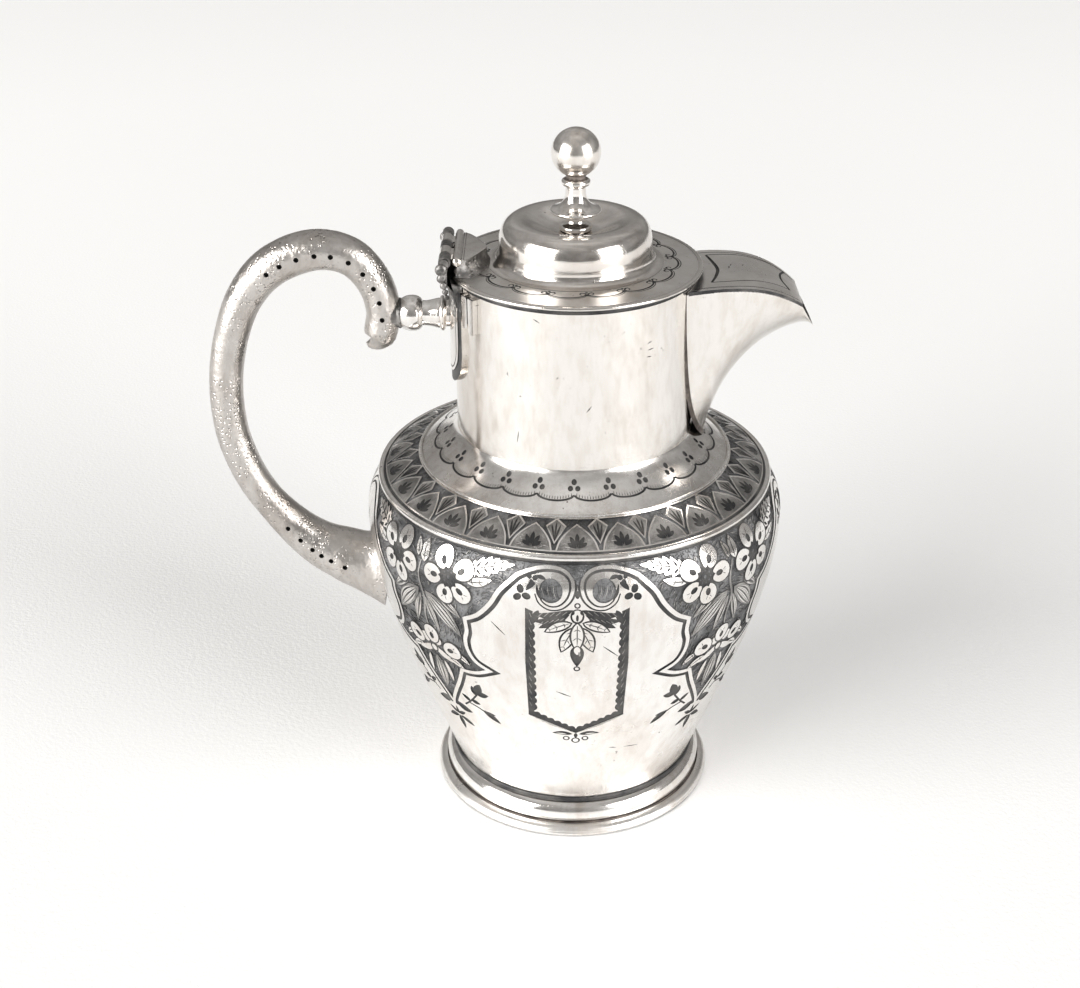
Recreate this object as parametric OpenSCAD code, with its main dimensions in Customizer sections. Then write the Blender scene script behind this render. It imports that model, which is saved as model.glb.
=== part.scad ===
// Lidded silver cream jug, built as separate soldered, turned and hinged pieces.
// Millimetres. +Z is up, the origin is the centre of the circle that the foot rests on,
// the spout points along +X, the handle along -X, and the lid hinge runs along Y.

/* [Foot] */
// Outer radius of the foot flange
foot_r = 33.2; // [32:0.1:35]
// Height of the foot flange
flange_h = 2.6; // [2:0.1:3]
// Height at which the body stands on the foot collar
body_z = 7.6; // [7:0.1:8.5]

/* [Body] */
// Radius of the body where it stands on the foot
body_low_r = 29.3; // [28:0.1:30]
// Largest radius of the body
body_max_r = 47.7; // [46:0.1:49]
// Height of the largest radius
body_max_z = 72; // [70:0.5:74]
// Wall thickness of the raised sheet
wall = 0.9; // [0.7:0.1:1.1]

/* [Shoulder and neck] */
// Radius of the outer edge of the engraved shoulder band
band_out_r = 43.2; // [42:0.1:44]
// Height of the outer edge of the engraved shoulder band
band_out_z = 82.4; // [82:0.1:83]
// Radius of the inner edge of the engraved shoulder band
band_in_r = 35.2; // [34:0.1:36]
// Outer radius of the neck
neck_r = 26.5; // [26:0.1:27]
// Height of the rim of the neck
neck_top = 129.2; // [128:0.1:130]

/* [Spout] */
// Distance of the spout's tip from the axis
spout_tip_x = 52.3; // [50:0.1:54]
// Height of the spout's tip
spout_tip_z = 116.9; // [115:0.1:119]
// Half width of the spout where it leaves the neck
spout_half_w = 12.5; // [11:0.1:13]
// Thickness of the spout's sheet and of its cover plate
spout_wall = 0.8; // [0.6:0.1:1]

/* [Lid] */
// Radius of the lid's flange
lid_r = 27.7; // [27.4:0.1:28]
// Gap between the neck's rim and the lid
lid_gap = 0.3; // [0.3:0.1:0.5]
// Radius of the lid's raised drum
dome_r = 16.7; // [15:0.1:18]
// Highest circle of the drum, above the lid's underside
dome_h = 10.9; // [10:0.1:12]

/* [Hinge] */
// Distance of the hinge axis from the jug's axis
hinge_x = 27.9; // [27.8:0.1:28.2]
// Height of the hinge axis above the neck's rim
hinge_up = 4.5; // [4.3:0.1:4.7]
// Radius of the knuckles
knuckle_r = 1.3; // [1.2:0.05:1.4]
// Radius of the hinge pin
pin_r = 0.6; // [0.5:0.05:0.7]
// Length of each of the five knuckles
knuckle_l = 4; // [3.8:0.1:4.2]

/* [Handle] */
// Radius of the handle at its thinnest stretch
handle_r = 3.85; // [3.5:0.05:4.2]
// Extra radius at the top of the handle's bend
handle_swell = 0.75; // [0.4:0.05:1]
// Height of the upper fitting between the handle and the neck
fitting_z = 118.6; // [117:0.1:120]

/* [Finial] */
// Radius of the ball on the lid
ball_r = 5.3; // [5:0.1:5.6]
// Overall height of the jug, to the top of the ball
total_h = 160; // [159:0.5:161]

/* [Hidden] */
$fn = 96;
eps = 0.01;

bright = "#c9c5bf";
warm = "#b9b2a8";
dark = "#6f6b68";

lid_z = neck_top + lid_gap;
hinge_z = neck_top + hinge_up;
knuckle_gap = 0.1;
pin_fit = 0.05;
hinge_half_w = 2.5 * knuckle_l + 0.3;
band_in_z = 86.2;
neck_low_z = 92.3;
seam = [44, 81.4];
body_top = [44.8, 80.4];
shoulder_edge = [band_out_r, band_out_z];

// ---- shared functions and shapes ----

// Point at t on a cubic curve with four control points
function cubic(p, t) =
    pow(1 - t, 3) * p[0] + 3 * pow(1 - t, 2) * t * p[1]
    + 3 * (1 - t) * t * t * p[2] + pow(t, 3) * p[3];

// n + 1 points along a cubic curve, from a to b of its length parameter
function cubic_points(p, n, a = 0, b = 1) = [for (i = [0:n]) cubic(p, a + (b - a) * i / n)];

// n + 1 points along a circular arc, angles in degrees
function arc_points(c, r, from, to, n) =
    [for (i = [0:n]) c + r * [cos(from + (to - from) * i / n), sin(from + (to - from) * i / n)]];

function reversed(list) = [for (i = [len(list) - 1:-1:0]) list[i]];
function moved(list, by) = [for (p = list) p + by];

// Solid of revolution about the jug's axis, from [radius, height] points
module turned(points) {
    rotate_extrude($fn = 144) polygon(points);
}

// Closed skin over equal rings of points, with the two end rings filled by flat faces.
// Each ring is closed, and strip = true fills an end ring as a strip between its halves.
module skin(rings, strip = false) {
    m = len(rings[0]);
    n = len(rings);
    sides = [for (i = [0:n - 2], j = [0:m - 1])
        each [[i * m + j, i * m + (j + 1) % m, (i + 1) * m + j],
              [i * m + (j + 1) % m, (i + 1) * m + (j + 1) % m, (i + 1) * m + j]]];
    // faces of an end ring that starts at index k
    function fan(k) = [for (j = [1:m - 2]) [k, k + j + 1, k + j]];
    function ribbon(k) = [for (j = [0:m / 2 - 2])
        each [[k + j, k + m - 1 - j, k + j + 1], [k + j + 1, k + m - 1 - j, k + m - 2 - j]]];
    first = strip ? ribbon(0) : fan(0);
    last = strip ? ribbon((n - 1) * m) : fan((n - 1) * m);
    polyhedron(
        points = [for (ring = rings) each ring],
        faces = concat(sides, first, [for (f = last) [f[0], f[2], f[1]]]),
        convexity = 6
    );
}

// ---- foot ----

// Lower ring of the foot: a rolled edge with a rounded apron, hollow beneath
module foot_flange() {
    edge_r = 0.7;
    color(bright) turned(concat(
        [[29.4, flange_h - 0.9], [29.4, flange_h]],
        cubic_points([[30.9, flange_h], [31.6, 2.2], [32.4, 2.1], [foot_r - 0.5, 1.4]], 6),
        arc_points([foot_r - edge_r, edge_r], edge_r, 40, -90, 8),
        [[31.4, 0], [31.0, flange_h - 1.6]]
    ));
}

// Upper ring of the foot: a convex collar that carries the body
module foot_collar() {
    color(bright) turned(concat(
        [[29.6, flange_h], [30.8, flange_h]],
        cubic_points([[30.9, flange_h + 0.3], [31.5, 4.4], [31.1, 6.2], [body_low_r + 0.3, body_z]], 10),
        [[27.3, body_z], [27.3, body_z - wall], [28.4, body_z - wall]],
        cubic_points([[28.4, body_z - wall], [29.6, 6.1], [30.1, 4.4], [29.6, flange_h + 0.3]], 8)
    ));
}

// ---- body ----

body_curve = [[body_low_r, body_z + 0.8], [34.5, 24], [body_max_r, 52], [body_max_r, body_max_z]];
body_turn = [[body_max_r, body_max_z], [body_max_r, 76], [46.4, 78.3], body_top];

// The raised body with its flat floor, up to the seam under the shoulder
module body_shell() {
    inward = [-wall, 0];
    color(warm) turned(concat(
        [[0, body_z], [body_low_r + 0.3, body_z]],
        cubic_points(body_curve, 24), cubic_points(body_turn, 10, 0.05),
        [seam, seam - [wall + 0.6, 0], body_top - [wall + 0.7, 0.5]],
        reversed(moved(cubic_points(body_turn, 8, 0.05, 0.9), inward)),
        reversed(moved(cubic_points(body_curve, 20, 0.03), inward)),
        [[body_low_r - 2, body_z + wall], [0, body_z + wall]]
    ));
}

// Half round wire that covers the seam between body and shoulder
module shoulder_bead() {
    chord = shoulder_edge - body_top;
    middle = (shoulder_edge + body_top) / 2;
    out = [chord[1], -chord[0]] / norm(chord);
    bulge = 0.95;
    color(bright) turned([for (i = [0:14])
        middle + chord / 2 * cos(180 - 180 * i / 14) + out * bulge * sin(180 * i / 14)]);
}

// ---- shoulder and neck ----

band_curve = [shoulder_edge, [41.0, 84.1], [38.0, 85.6], [band_in_r, band_in_z]];
slope_curve = [[band_in_r - 0.5, band_in_z + 0.35], [32.2, 88.4], [27.6, 90.6], [neck_r, neck_low_z + 0.6]];

// The shoulder: convex band, a turned step, then the slope up to the neck
module shoulder_shell() {
    color(warm) turned(concat(
        [seam - [wall + 0.6, 0], seam],
        cubic_points(band_curve, 12),
        [[band_in_r - 0.2, band_in_z + 0.3]],
        cubic_points(slope_curve, 14),
        [[neck_r - wall, neck_low_z + 0.6], [neck_r - wall, neck_low_z - 1]],
        reversed(moved(cubic_points(slope_curve, 12, 0, 0.85), [0, -1.15])),
        reversed(moved(cubic_points(band_curve, 8, 0.12), [0, -1.05]))
    ));
}

// Straight neck, open at the top, with the pouring window behind the spout
module neck_tube() {
    window_half = 8;
    window_low = 104;
    window_high = 123;
    color(warm) difference() {
        translate([0, 0, neck_low_z + 0.6]) cylinder(r = neck_r, h = neck_top - neck_low_z - 0.6);
        translate([0, 0, neck_low_z]) cylinder(r = neck_r - wall, h = neck_top);
        translate([0, -window_half, window_low])
            cube([neck_r + 5, 2 * window_half, window_high - window_low]);
    }
}

// ---- spout ----

spout_root_x = 23.2;
spout_low = [29.4, 89.6];
cover_end_x = 48.9;
keel_power = 1.78;
edge_power = 2.4;

// Height of the spout's top edge at x
function spout_top(x) =
    x <= cover_end_x
    ? 128.7 - 0.0053 * pow(max(0, x - 32.5), 2.48) - 0.01 * pow(max(0, 32.5 - x), 2)
    : spout_top(cover_end_x)
      + (spout_tip_z - spout_top(cover_end_x)) * (x - cover_end_x) / (spout_tip_x - cover_end_x);

// Half width of the spout's top edge at x
function spout_half(x) =
    spout_half_w * pow(max(0, 1 - pow((x - spout_root_x) / (spout_tip_x + 0.25 - spout_root_x), edge_power)),
                       1 / edge_power);

// Point of the keel, s from 0 at the shoulder to 1 at the tip
function keel(s) = [
    spout_tip_x - (spout_tip_x - spout_low[0]) * pow(cos(90 * s), 2 / keel_power),
    spout_low[1] + (spout_tip_z - spout_low[1]) * pow(sin(90 * s), 2 / keel_power)
];

// One side-to-side curve of the spout at s, moved inwards by the sheet's thickness t
function spout_curve(s, t, m) =
    let (x = spout_root_x + (spout_tip_x - spout_root_x) * s,
         k = keel(s),
         half = max(0.05, spout_half(x) - t),
         top = spout_top(x) - spout_wall,
         low = min(k[1] + t * 1.15, top - 0.06),
         power = 2.3 - 0.8 * min(1, s * 1.6),
         keel_x = k[0] - t * cos(90 * s))
    [for (i = [0:m])
        let (a = -90 + 180 * i / m,
             y = half * sign(a) * pow(abs(sin(a)), 2 / power),
             drop = pow(abs(cos(a)), 2 / power),
             root = sqrt(pow(neck_r - 0.3, 2) - y * y) + (keel_x - neck_r + 0.3) * pow(drop, 6),
             far = x + (keel_x - x) * drop,
             blend = min(1, s * 5))
        [root * (1 - blend) + far * blend, y, top + (low - top) * drop]];

// Bent sheet of the spout: a deep trough that narrows to the tip
module spout_shell() {
    stations = [for (i = [0:22]) 0.992 * i / 22];
    across = 18;
    color(warm) skin([for (s = stations)
        concat(spout_curve(s, 0, across), reversed(spout_curve(s, spout_wall, across)))], strip = true);
}

// Plate that covers the spout, from the neck to the mouth
module spout_cover() {
    n = 16;
    xs = [for (i = [0:n]) spout_root_x + (cover_end_x - spout_root_x) * i / n];
    side = [for (x = xs) [x, spout_top(x)]];
    plan = [for (x = xs) [x, spout_half(x)]];
    color(bright) difference() {
        intersection() {
            translate([0, spout_half_w + 1, 0]) rotate([90, 0, 0]) linear_extrude(2 * spout_half_w + 2)
                polygon(concat(side, reversed(moved(side, [0, -spout_wall]))));
            translate([0, 0, 110]) linear_extrude(30)
                polygon(concat(plan, reversed([for (p = plan) [p[0], -p[1]]])));
        }
        cylinder(r = neck_r, h = 200);
    }
}

// ---- fittings on the back of the neck ----

plate_t = 1.1;
seat_low_z = 121;
seat_top_z = hinge_z - knuckle_r - 0.05;

// Escutcheon soldered to the neck: a long central leaf and two short tongues on each side
module back_plate() {
    leaf_half = 11.6;
    leaf_low = 104.5;
    leaf_round = 8;
    top = 127.8;
    tongue_r = 1.1;
    color(bright) intersection() {
        difference() {
            translate([0, 0, 100]) cylinder(r = neck_r + plate_t, h = 28);
            translate([0, 0, 99]) cylinder(r = neck_r, h = 30);
        }
        rotate([90, 0, -90]) linear_extrude(40) {
            polygon(concat(
                [for (i = [0:24]) [leaf_half * sin(-90 + 7.5 * i), leaf_low + leaf_round * (1 - cos(-90 + 7.5 * i))]],
                [[leaf_half, top], [-leaf_half, top]]
            ));
            for (side = [-1, 1], i = [0, 1])
                translate([side * (leaf_half + 0.9 + 1.9 * i), 121.6 - 0.8 * i]) {
                    circle(r = tongue_r, $fn = 24);
                    translate([-tongue_r, 0]) square([2 * tongue_r, top - 121.6 + 0.8 * i]);
                }
        }
    }
}

// Cast seat that carries the hinge: flush with the leaf below, a straight bar above
module hinge_seat() {
    lobe_r = 1.2;
    color(dark) difference() {
        intersection() {
            translate([0, 20, 0]) rotate([90, 0, 0]) linear_extrude(40) polygon([
                [-neck_r - plate_t, seat_low_z], [-24, seat_low_z], [-24, neck_top - 0.2],
                [-neck_r - 0.8, neck_top - 0.2], [-neck_r - 0.8, seat_top_z],
                [-hinge_x - 0.8, seat_top_z], [-hinge_x - 0.8, neck_top + 0.8]
            ]);
            rotate([90, 0, -90]) linear_extrude(40) union() {
                translate([-hinge_half_w + 1, seat_low_z]) square([2 * hinge_half_w - 2, seat_top_z - seat_low_z]);
                for (side = [-1, 1], i = [0:4])
                    translate([side * (hinge_half_w - 1.2), seat_top_z - lobe_r - 2.1 * i]) circle(r = lobe_r, $fn = 24);
            }
        }
        translate([0, 0, 100]) cylinder(r = neck_r + plate_t, h = 27.8);
        translate([0, 0, 100]) cylinder(r = neck_r, h = neck_top - 100);
    }
}

// ---- hinge ----

// Start of knuckle i along Y, counted from the side away from the front
function knuckle_y(i) = (i - 2.5) * knuckle_l + knuckle_gap / 2;

// Knuckle i with its bore, on the hinge axis
module knuckle(i, web) {
    length = knuckle_l - knuckle_gap;
    translate([-hinge_x, knuckle_y(i), hinge_z]) difference() {
        union() {
            rotate([-90, 0, 0]) cylinder(r = knuckle_r, h = length, $fn = 48);
            translate([web[0], 0, web[1]]) cube([web[2], length, web[3]]);
        }
        translate([0, -1, 0]) rotate([-90, 0, 0]) cylinder(r = pin_r + pin_fit, h = length + 2, $fn = 48);
    }
}

// The three knuckles that stand on the seat
module body_knuckles() {
    color(dark) for (i = [0:2:4])
        knuckle(i, [-0.7, seat_top_z - hinge_z, 1.4, hinge_z - seat_top_z - 0.3]);
}

// The two knuckles that belong to the lid
module lid_knuckles() {
    reach = hinge_x - ridge_x - ridge_r + 0.15;
    color(bright) for (i = [1:2:3])
        knuckle(i, [0, -0.55, reach, 1.1]);
}

// Pin through all five knuckles, with a small head at each end
module hinge_pin() {
    half = 2.5 * knuckle_l;
    color(dark) translate([-hinge_x, 0, hinge_z]) {
        translate([0, -half - 0.1, 0]) rotate([-90, 0, 0]) cylinder(r = pin_r, h = 2 * half + 0.2, $fn = 48);
        for (side = [-1, 1])
            translate([0, side * (half + 0.35), 0]) rotate([-90, 0, 0])
                cylinder(r = pin_r + 0.35, h = 0.5, center = true, $fn = 48);
    }
}

// ---- lid ----

ridge_x = 25.3;
ridge_r = 1.0;
flange_t = 0.9;
leaf_cut_x = 26.1;
crown_h = 8.1;
sheet_t = 0.8;
// Outline of the lid's outer face, from the drum's centre outwards
crown_curve = [[3.8, lid_z + crown_h], [7, lid_z + crown_h + 0.1], [9.4, dome_h + lid_z], [12.2, dome_h + lid_z]];
drum_curve = [[12.2, dome_h + lid_z], [16, dome_h + lid_z], [dome_r, lid_z + 8], [dome_r, lid_z + 4.2]];
flare_curve = [[dome_r, lid_z + 4.2], [dome_r, lid_z + 2.6], [17.2, lid_z + 1.5], [19.2, lid_z + 1.35]];

// Flange and raised drum, cut straight at the hinge
module lid_shell() {
    inward = [-0.7, -0.7];
    color(bright) difference() {
        turned(concat(
            [[1.3, lid_z + crown_h]],
            cubic_points(crown_curve, 8), cubic_points(drum_curve, 12, 0.05), cubic_points(flare_curve, 8, 0.05),
            [[26.4, lid_z + flange_t]],
            arc_points([lid_r - 0.45, lid_z + 0.45], 0.45, 70, -90, 6),
            [[20, lid_z]],
            reversed(moved(cubic_points(flare_curve, 6, 0, 0.8), inward)),
            reversed(moved(cubic_points(drum_curve, 10, 0.2, 0.95), inward)),
            reversed(moved(cubic_points(crown_curve, 6, 0, 0.9), [0, -sheet_t])),
            [[1.3, lid_z + crown_h - sheet_t]]
        ));
        translate([-40, -20, lid_z - 5]) cube([40 - leaf_cut_x, 40, 10]);
    }
}

// Ring under the flange that locates the lid inside the neck
module lid_bezel() {
    bezel_r = neck_r - wall - 0.6;
    color(bright) difference() {
        translate([0, 0, lid_z - 2.8]) cylinder(r = bezel_r, h = 2.8);
        translate([0, 0, lid_z - 4]) cylinder(r = bezel_r - 0.8, h = 5);
    }
}

// Leaf on the flange: a ridge beside the knuckles and a raised tongue that points at the drum
module lid_leaf() {
    tongue_top = hinge_z + 0.3;
    color(bright) {
        translate([-ridge_x, 0, hinge_z - 0.1]) rotate([90, 0, 0])
            cylinder(r = ridge_r, h = 2 * hinge_half_w - 1.6, center = true, $fn = 32);
        difference() {
            translate([0, 0, lid_z + flange_t]) linear_extrude(tongue_top - lid_z - flange_t)
                polygon([[-ridge_x, -9.5], [-ridge_x, 9.5], [-23.6, 9.5], [-19.2, 1.8], [-19.2, -1.8], [-23.6, -9.5]]);
            // hollow flanks of the tongue
            for (side = [-1, 1])
                translate([-19.2, side * 1.8, lid_z + flange_t + 1.3]) rotate([0, 0, side * 60])
                    translate([-14, side * 1.3, 0]) rotate([0, 90, 0]) cylinder(r = 1.3, h = 22, $fn = 32);
        }
    }
}

// ---- finial ----

finial_z = lid_z + crown_h;
rim_z = 142.3;

// Small turned base: a ring on the lid and a short stem
module finial_base() {
    color(bright) turned(concat(
        [[1.3, finial_z]],
        arc_points([2.85, finial_z + 0.75], 0.75, -70, 80, 8),
        cubic_points([[2.6, finial_z + 1.5], [2.0, finial_z + 2], [2.0, finial_z + 2.9], [2.6, finial_z + 3.8]], 6),
        [[1.3, finial_z + 3.8]]
    ));
}

// Turned stem: a bell with a thin rim, a waist and a collar under the ball
module finial_stem() {
    low = finial_z + 3.8;
    ball_z = total_h - ball_r;
    color(bright) turned(concat(
        [[1.3, low], [3.4, low], [5.1, rim_z - 0.6]],
        arc_points([5.15, rim_z - 0.2], 0.4, -80, 80, 6),
        cubic_points([[4.4, rim_z + 0.5], [2.9, rim_z + 1.2], [2.1, rim_z + 2.2], [2.15, 146.4]], 8),
        arc_points([2.35, 148.3], 0.75, -60, 60, 8),
        [[2.1, 149.5], [2.1, ball_z - sqrt(ball_r * ball_r - 2.1 * 2.1)], [1.3, 149.8], [1.3, low]]
    ));
}

// Ball, bored from below for the stud
module finial_ball() {
    color(bright) translate([0, 0, total_h - ball_r]) difference() {
        sphere(r = ball_r);
        translate([0, 0, -ball_r - 1]) cylinder(r = 2.1, h = 1 + ball_r - sqrt(ball_r * ball_r - 2.1 * 2.1) + 0.02);
        translate([0, 0, -ball_r - 1]) cylinder(r = 1.2, h = 1 + ball_r - 1);
    }
}

// Threaded stud, from inside the lid up into the ball
module finial_stud() {
    color(dark) translate([0, 0, finial_z - 4]) cylinder(r = 1.15, h = total_h - ball_r - 1.2 - finial_z + 4, $fn = 48);
}

// Nut that draws the finial down, inside the lid
module finial_nut() {
    nut_h = 2;
    color(dark) translate([0, 0, finial_z - sheet_t - nut_h]) difference() {
        cylinder(r = 3, h = nut_h, $fn = 6);
        translate([0, 0, -1]) cylinder(r = 1.2, h = 4, $fn = 48);
    }
}

// ---- handle ----

// Centre line of the bow in the XZ plane, from the body round to the scroll
bow_points = [
    [-52.5, 57.2], [-60, 61], [-67.2, 67.8], [-73.6, 77], [-77.5, 88],
    [-78.4, 99], [-77, 110], [-73, 121.4], [-66.4, 129.3], [-57, 133.2],
    [-49, 131.8], [-44, 126.2], [-42.2, 119.6], [-42.9, 114.4]
];

// Smooth point between point i and the next one of a list, t from 0 to 1
function through(p, i, t) =
    let (a = p[max(0, i - 1)], b = p[i], c = p[min(len(p) - 1, i + 1)], d = p[min(len(p) - 1, i + 2)])
    0.5 * (2 * b + (c - a) * t + (2 * a - 5 * b + 4 * c - d) * t * t + (3 * b - a - 3 * c + d) * pow(t, 3));

// Radius of the bow at u, from 0 at the body to 1 at the scroll
function bow_radius(u) =
    handle_r + handle_swell * exp(-pow((u - 0.74) / 0.13, 2)) + 2.9 * pow(max(0, 1 - u / 0.2), 1.5);

// Ring round a centre in the XZ plane, square to the direction d
function ring(c, d, r, m, wide = 1) =
    let (e = d / norm(d))
    [for (j = [0:m - 1]) let (a = 360 * j / m)
        [c[0] - e[1] * r * cos(a), r * wide * sin(a), c[1] + e[0] * r * cos(a)]];

// Hammered bow of the handle
module handle_bow() {
    last = len(bow_points) - 1;
    steps = 4;
    n = last * steps;
    line = [for (k = [0:n]) through(bow_points, min(last - 1, floor(k / steps)),
                                    k / steps - min(last - 1, floor(k / steps)))];
    color(bright) skin([for (k = [0:n])
        ring(line[k], line[min(n, k + 1)] - line[max(0, k - 1)], bow_radius(k / n), 20)]);
}

// Rounded end of the scroll, with its small lip turned outwards
module handle_tip() {
    start = bow_points[len(bow_points) - 1];
    path = [for (step = [[0, 0], [-0.1, -0.8], [-0.4, -1.6], [-0.9, -2.3], [-1.6, -2.8], [-2.4, -3], [-3.1, -2.9], [-3.6, -2.7]])
        start + step];
    radii = [handle_r, 3.7, 3.3, 2.7, 2.1, 1.5, 1, 0.4];
    color(bright) skin([for (i = [0:len(path) - 1])
        ring(path[i], i == 0 ? [-0.1, -1] : path[i] - path[i - 1], radii[i], 24)]);
}

// Flared lower end of the handle, soldered to the body
module handle_socket() {
    curve = [[-52.5, 57.2], [-50, 56.1], [-47.5, 55.4], [-43.4, 54.8]];
    radii = [bow_radius(0), 7, 8, 10.4];
    color(bright) difference() {
        skin([for (i = [0:12]) let (t = i / 12)
            ring(cubic(curve, t), cubic(curve, min(1, t + 0.05)) - cubic(curve, max(0, t - 0.05)),
                 cubic(radii, t), 28, 1 - 0.2 * t)]);
        turned(concat([[0, body_z]], cubic_points(body_curve, 24), [[0, body_max_z]]));
    }
}

// Distance from the axis at which the baluster ends
fitting_far = 38.2;

// Baluster between the neck and the handle's scroll
module handle_fitting() {
    far = fitting_far;
    color(bright) translate([0, 0, fitting_z]) rotate([0, -90, 0]) rotate_extrude($fn = 64)
        polygon(concat(
            [[0, neck_r + plate_t], [1.9, neck_r + plate_t], [1.9, 28.2]],
            arc_points([3.1, 29.1], 0.65, -90, 90, 6),
            cubic_points([[2.7, 29.9], [2.0, 31], [1.8, 32.4], [2.1, 33.3]], 6),
            cubic_points([[2.4, 33.5], [4.3, 34.2], [4.2, 37], [3.2, far]], 8),
            [[0, far]]
        ));
}

// Dark collar between the baluster and the scroll
module fitting_collar() {
    color(dark) translate([0, 0, fitting_z]) rotate([0, -90, 0])
        translate([0, 0, fitting_far]) cylinder(r = 3.4, h = 2.2, $fn = 48);
}

foot_flange();
foot_collar();
body_shell();
shoulder_bead();
shoulder_shell();
neck_tube();
spout_shell();
spout_cover();
back_plate();
hinge_seat();
body_knuckles();
hinge_pin();
lid_knuckles();
lid_leaf();
lid_shell();
lid_bezel();
finial_base();
finial_stem();
finial_ball();
finial_stud();
finial_nut();
handle_bow();
handle_tip();
handle_socket();
handle_fitting();
fitting_collar();
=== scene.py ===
"""Looks of the lidded silver jug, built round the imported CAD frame.

Shapes are worked out in millimetres and become objects in metres.
"""

import math

import bpy
import numpy as np
from mathutils import Matrix, Vector
from mathutils.geometry import delaunay_2d_cdt
from mathutils.kdtree import KDTree


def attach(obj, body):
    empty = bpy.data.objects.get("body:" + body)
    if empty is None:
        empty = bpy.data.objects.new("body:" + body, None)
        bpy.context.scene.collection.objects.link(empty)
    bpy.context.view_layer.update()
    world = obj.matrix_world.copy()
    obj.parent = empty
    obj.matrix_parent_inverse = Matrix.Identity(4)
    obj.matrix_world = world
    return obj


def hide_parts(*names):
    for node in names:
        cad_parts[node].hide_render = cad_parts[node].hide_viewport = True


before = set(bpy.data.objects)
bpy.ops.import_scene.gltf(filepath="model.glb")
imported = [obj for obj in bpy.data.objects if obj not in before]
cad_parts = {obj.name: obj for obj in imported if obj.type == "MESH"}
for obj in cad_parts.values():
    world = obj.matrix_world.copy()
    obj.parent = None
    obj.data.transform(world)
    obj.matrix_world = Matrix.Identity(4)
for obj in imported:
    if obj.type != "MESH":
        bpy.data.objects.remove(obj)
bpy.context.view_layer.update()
MM = 0.001
TAU = 2 * math.pi

# ---------------------------------------------------------------- camera

# Lens place in millimetres and its turns in radians, for an image of 1080 by 988
CAM_AT = (-6.6, -356.8, 260.0)
CAM_PITCH, CAM_YAW, CAM_ROLL = 0.4816, -0.0036, -0.0041
CAM_LENS = 57.81


def make_camera():
    level = math.cos(CAM_PITCH)
    forward = Vector((math.sin(CAM_YAW) * level, math.cos(CAM_YAW) * level, -math.sin(CAM_PITCH)))
    right = Vector((math.cos(CAM_YAW), -math.sin(CAM_YAW), 0))
    up = right.cross(forward)
    c, s = math.cos(CAM_ROLL), math.sin(CAM_ROLL)
    x, y = c * right + s * up, c * up - s * right
    data = bpy.data.cameras.new("camera")
    data.lens, data.sensor_width, data.sensor_fit = CAM_LENS, 36.0, "HORIZONTAL"
    data.clip_start, data.clip_end = 0.01, 50
    cam = bpy.data.objects.new("camera", data)
    bpy.context.scene.collection.objects.link(cam)
    cam.matrix_world = Matrix.Translation(Vector(CAM_AT) * MM) @ Matrix((x, y,
        -forward)).transposed().to_4x4()
    bpy.context.scene.camera = cam


# ---------------------------------------------------------------- materials

class Shader:
    """A material's node tree, with short calls for the nodes used here."""

    def __init__(self, name):
        self.mat = bpy.data.materials.new(name)
        self.mat.use_nodes = True
        self.tree = self.mat.node_tree
        self.bsdf = self.tree.nodes["Principled BSDF"]
        self.coord = self.tree.nodes.new("ShaderNodeTexCoord").outputs["Object"]

    def new(self, kind, **props):
        node = self.tree.nodes.new(kind)
        for key, value in props.items():
            setattr(node, key, value)
        return node

    def give(self, socket, value):
        """Sets a socket to a constant, or links it to another node's output."""
        if hasattr(value, "is_output"):
            self.tree.links.new(value, socket)
        else:
            socket.default_value = value

    def feed(self, node, **sockets):
        for key, value in sockets.items():
            self.give(node.inputs[key.replace("_", " ")], value)
        return node

    def stretched(self, x, y, z, turn=(0, 0, 0)):
        m = self.feed(self.new("ShaderNodeMapping"), Vector=self.coord, Scale=(x, y, z), Rotation=turn)
        return m.outputs["Vector"]

    def noise(self, scale, detail=3.0, rough=0.5, vector=None, distort=0.0):
        n = self.feed(self.new("ShaderNodeTexNoise"), Vector=vector or self.coord, Scale=scale)
        return self.feed(n, Detail=detail, Roughness=rough, Distortion=distort).outputs["Fac"]

    def cells(self, scale):
        n = self.feed(self.new("ShaderNodeTexVoronoi"), Vector=self.coord, Scale=scale)
        return n.outputs["Distance"]

    def ramp(self, value, low, high, a=0.0, b=1.0):
        n = self.feed(self.new("ShaderNodeMapRange", interpolation_type="SMOOTHSTEP"), Value=value)
        return self.feed(n, From_Min=low, From_Max=high, To_Min=a, To_Max=b).outputs["Result"]

    def maths(self, op, a, b):
        n = self.new("ShaderNodeMath", operation=op)
        for socket, value in zip(n.inputs, (a, b)):
            self.give(socket, value)
        return n.outputs[0]

    def mix(self, factor, a, b):
        n = self.new("ShaderNodeMix", data_type="RGBA")
        for index, value in ((0, factor), (6, a), (7, b)):
            self.give(n.inputs[index], value)
        return n.outputs[2]

    def bump(self, height, distance, strength=1.0, normal=None):
        n = self.feed(self.new("ShaderNodeBump"), Height=height, Distance=distance, Strength=strength)
        if normal is not None:
            self.feed(n, Normal=normal)
        return n.outputs["Normal"]

    def done(self, color, metallic, roughness, normal=None):
        self.feed(self.bsdf, Base_Color=color, Metallic=metallic, Roughness=roughness)
        if normal is not None:
            self.feed(self.bsdf, Normal=normal)
        return self.mat


SCRATCH = 0.000003


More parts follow.
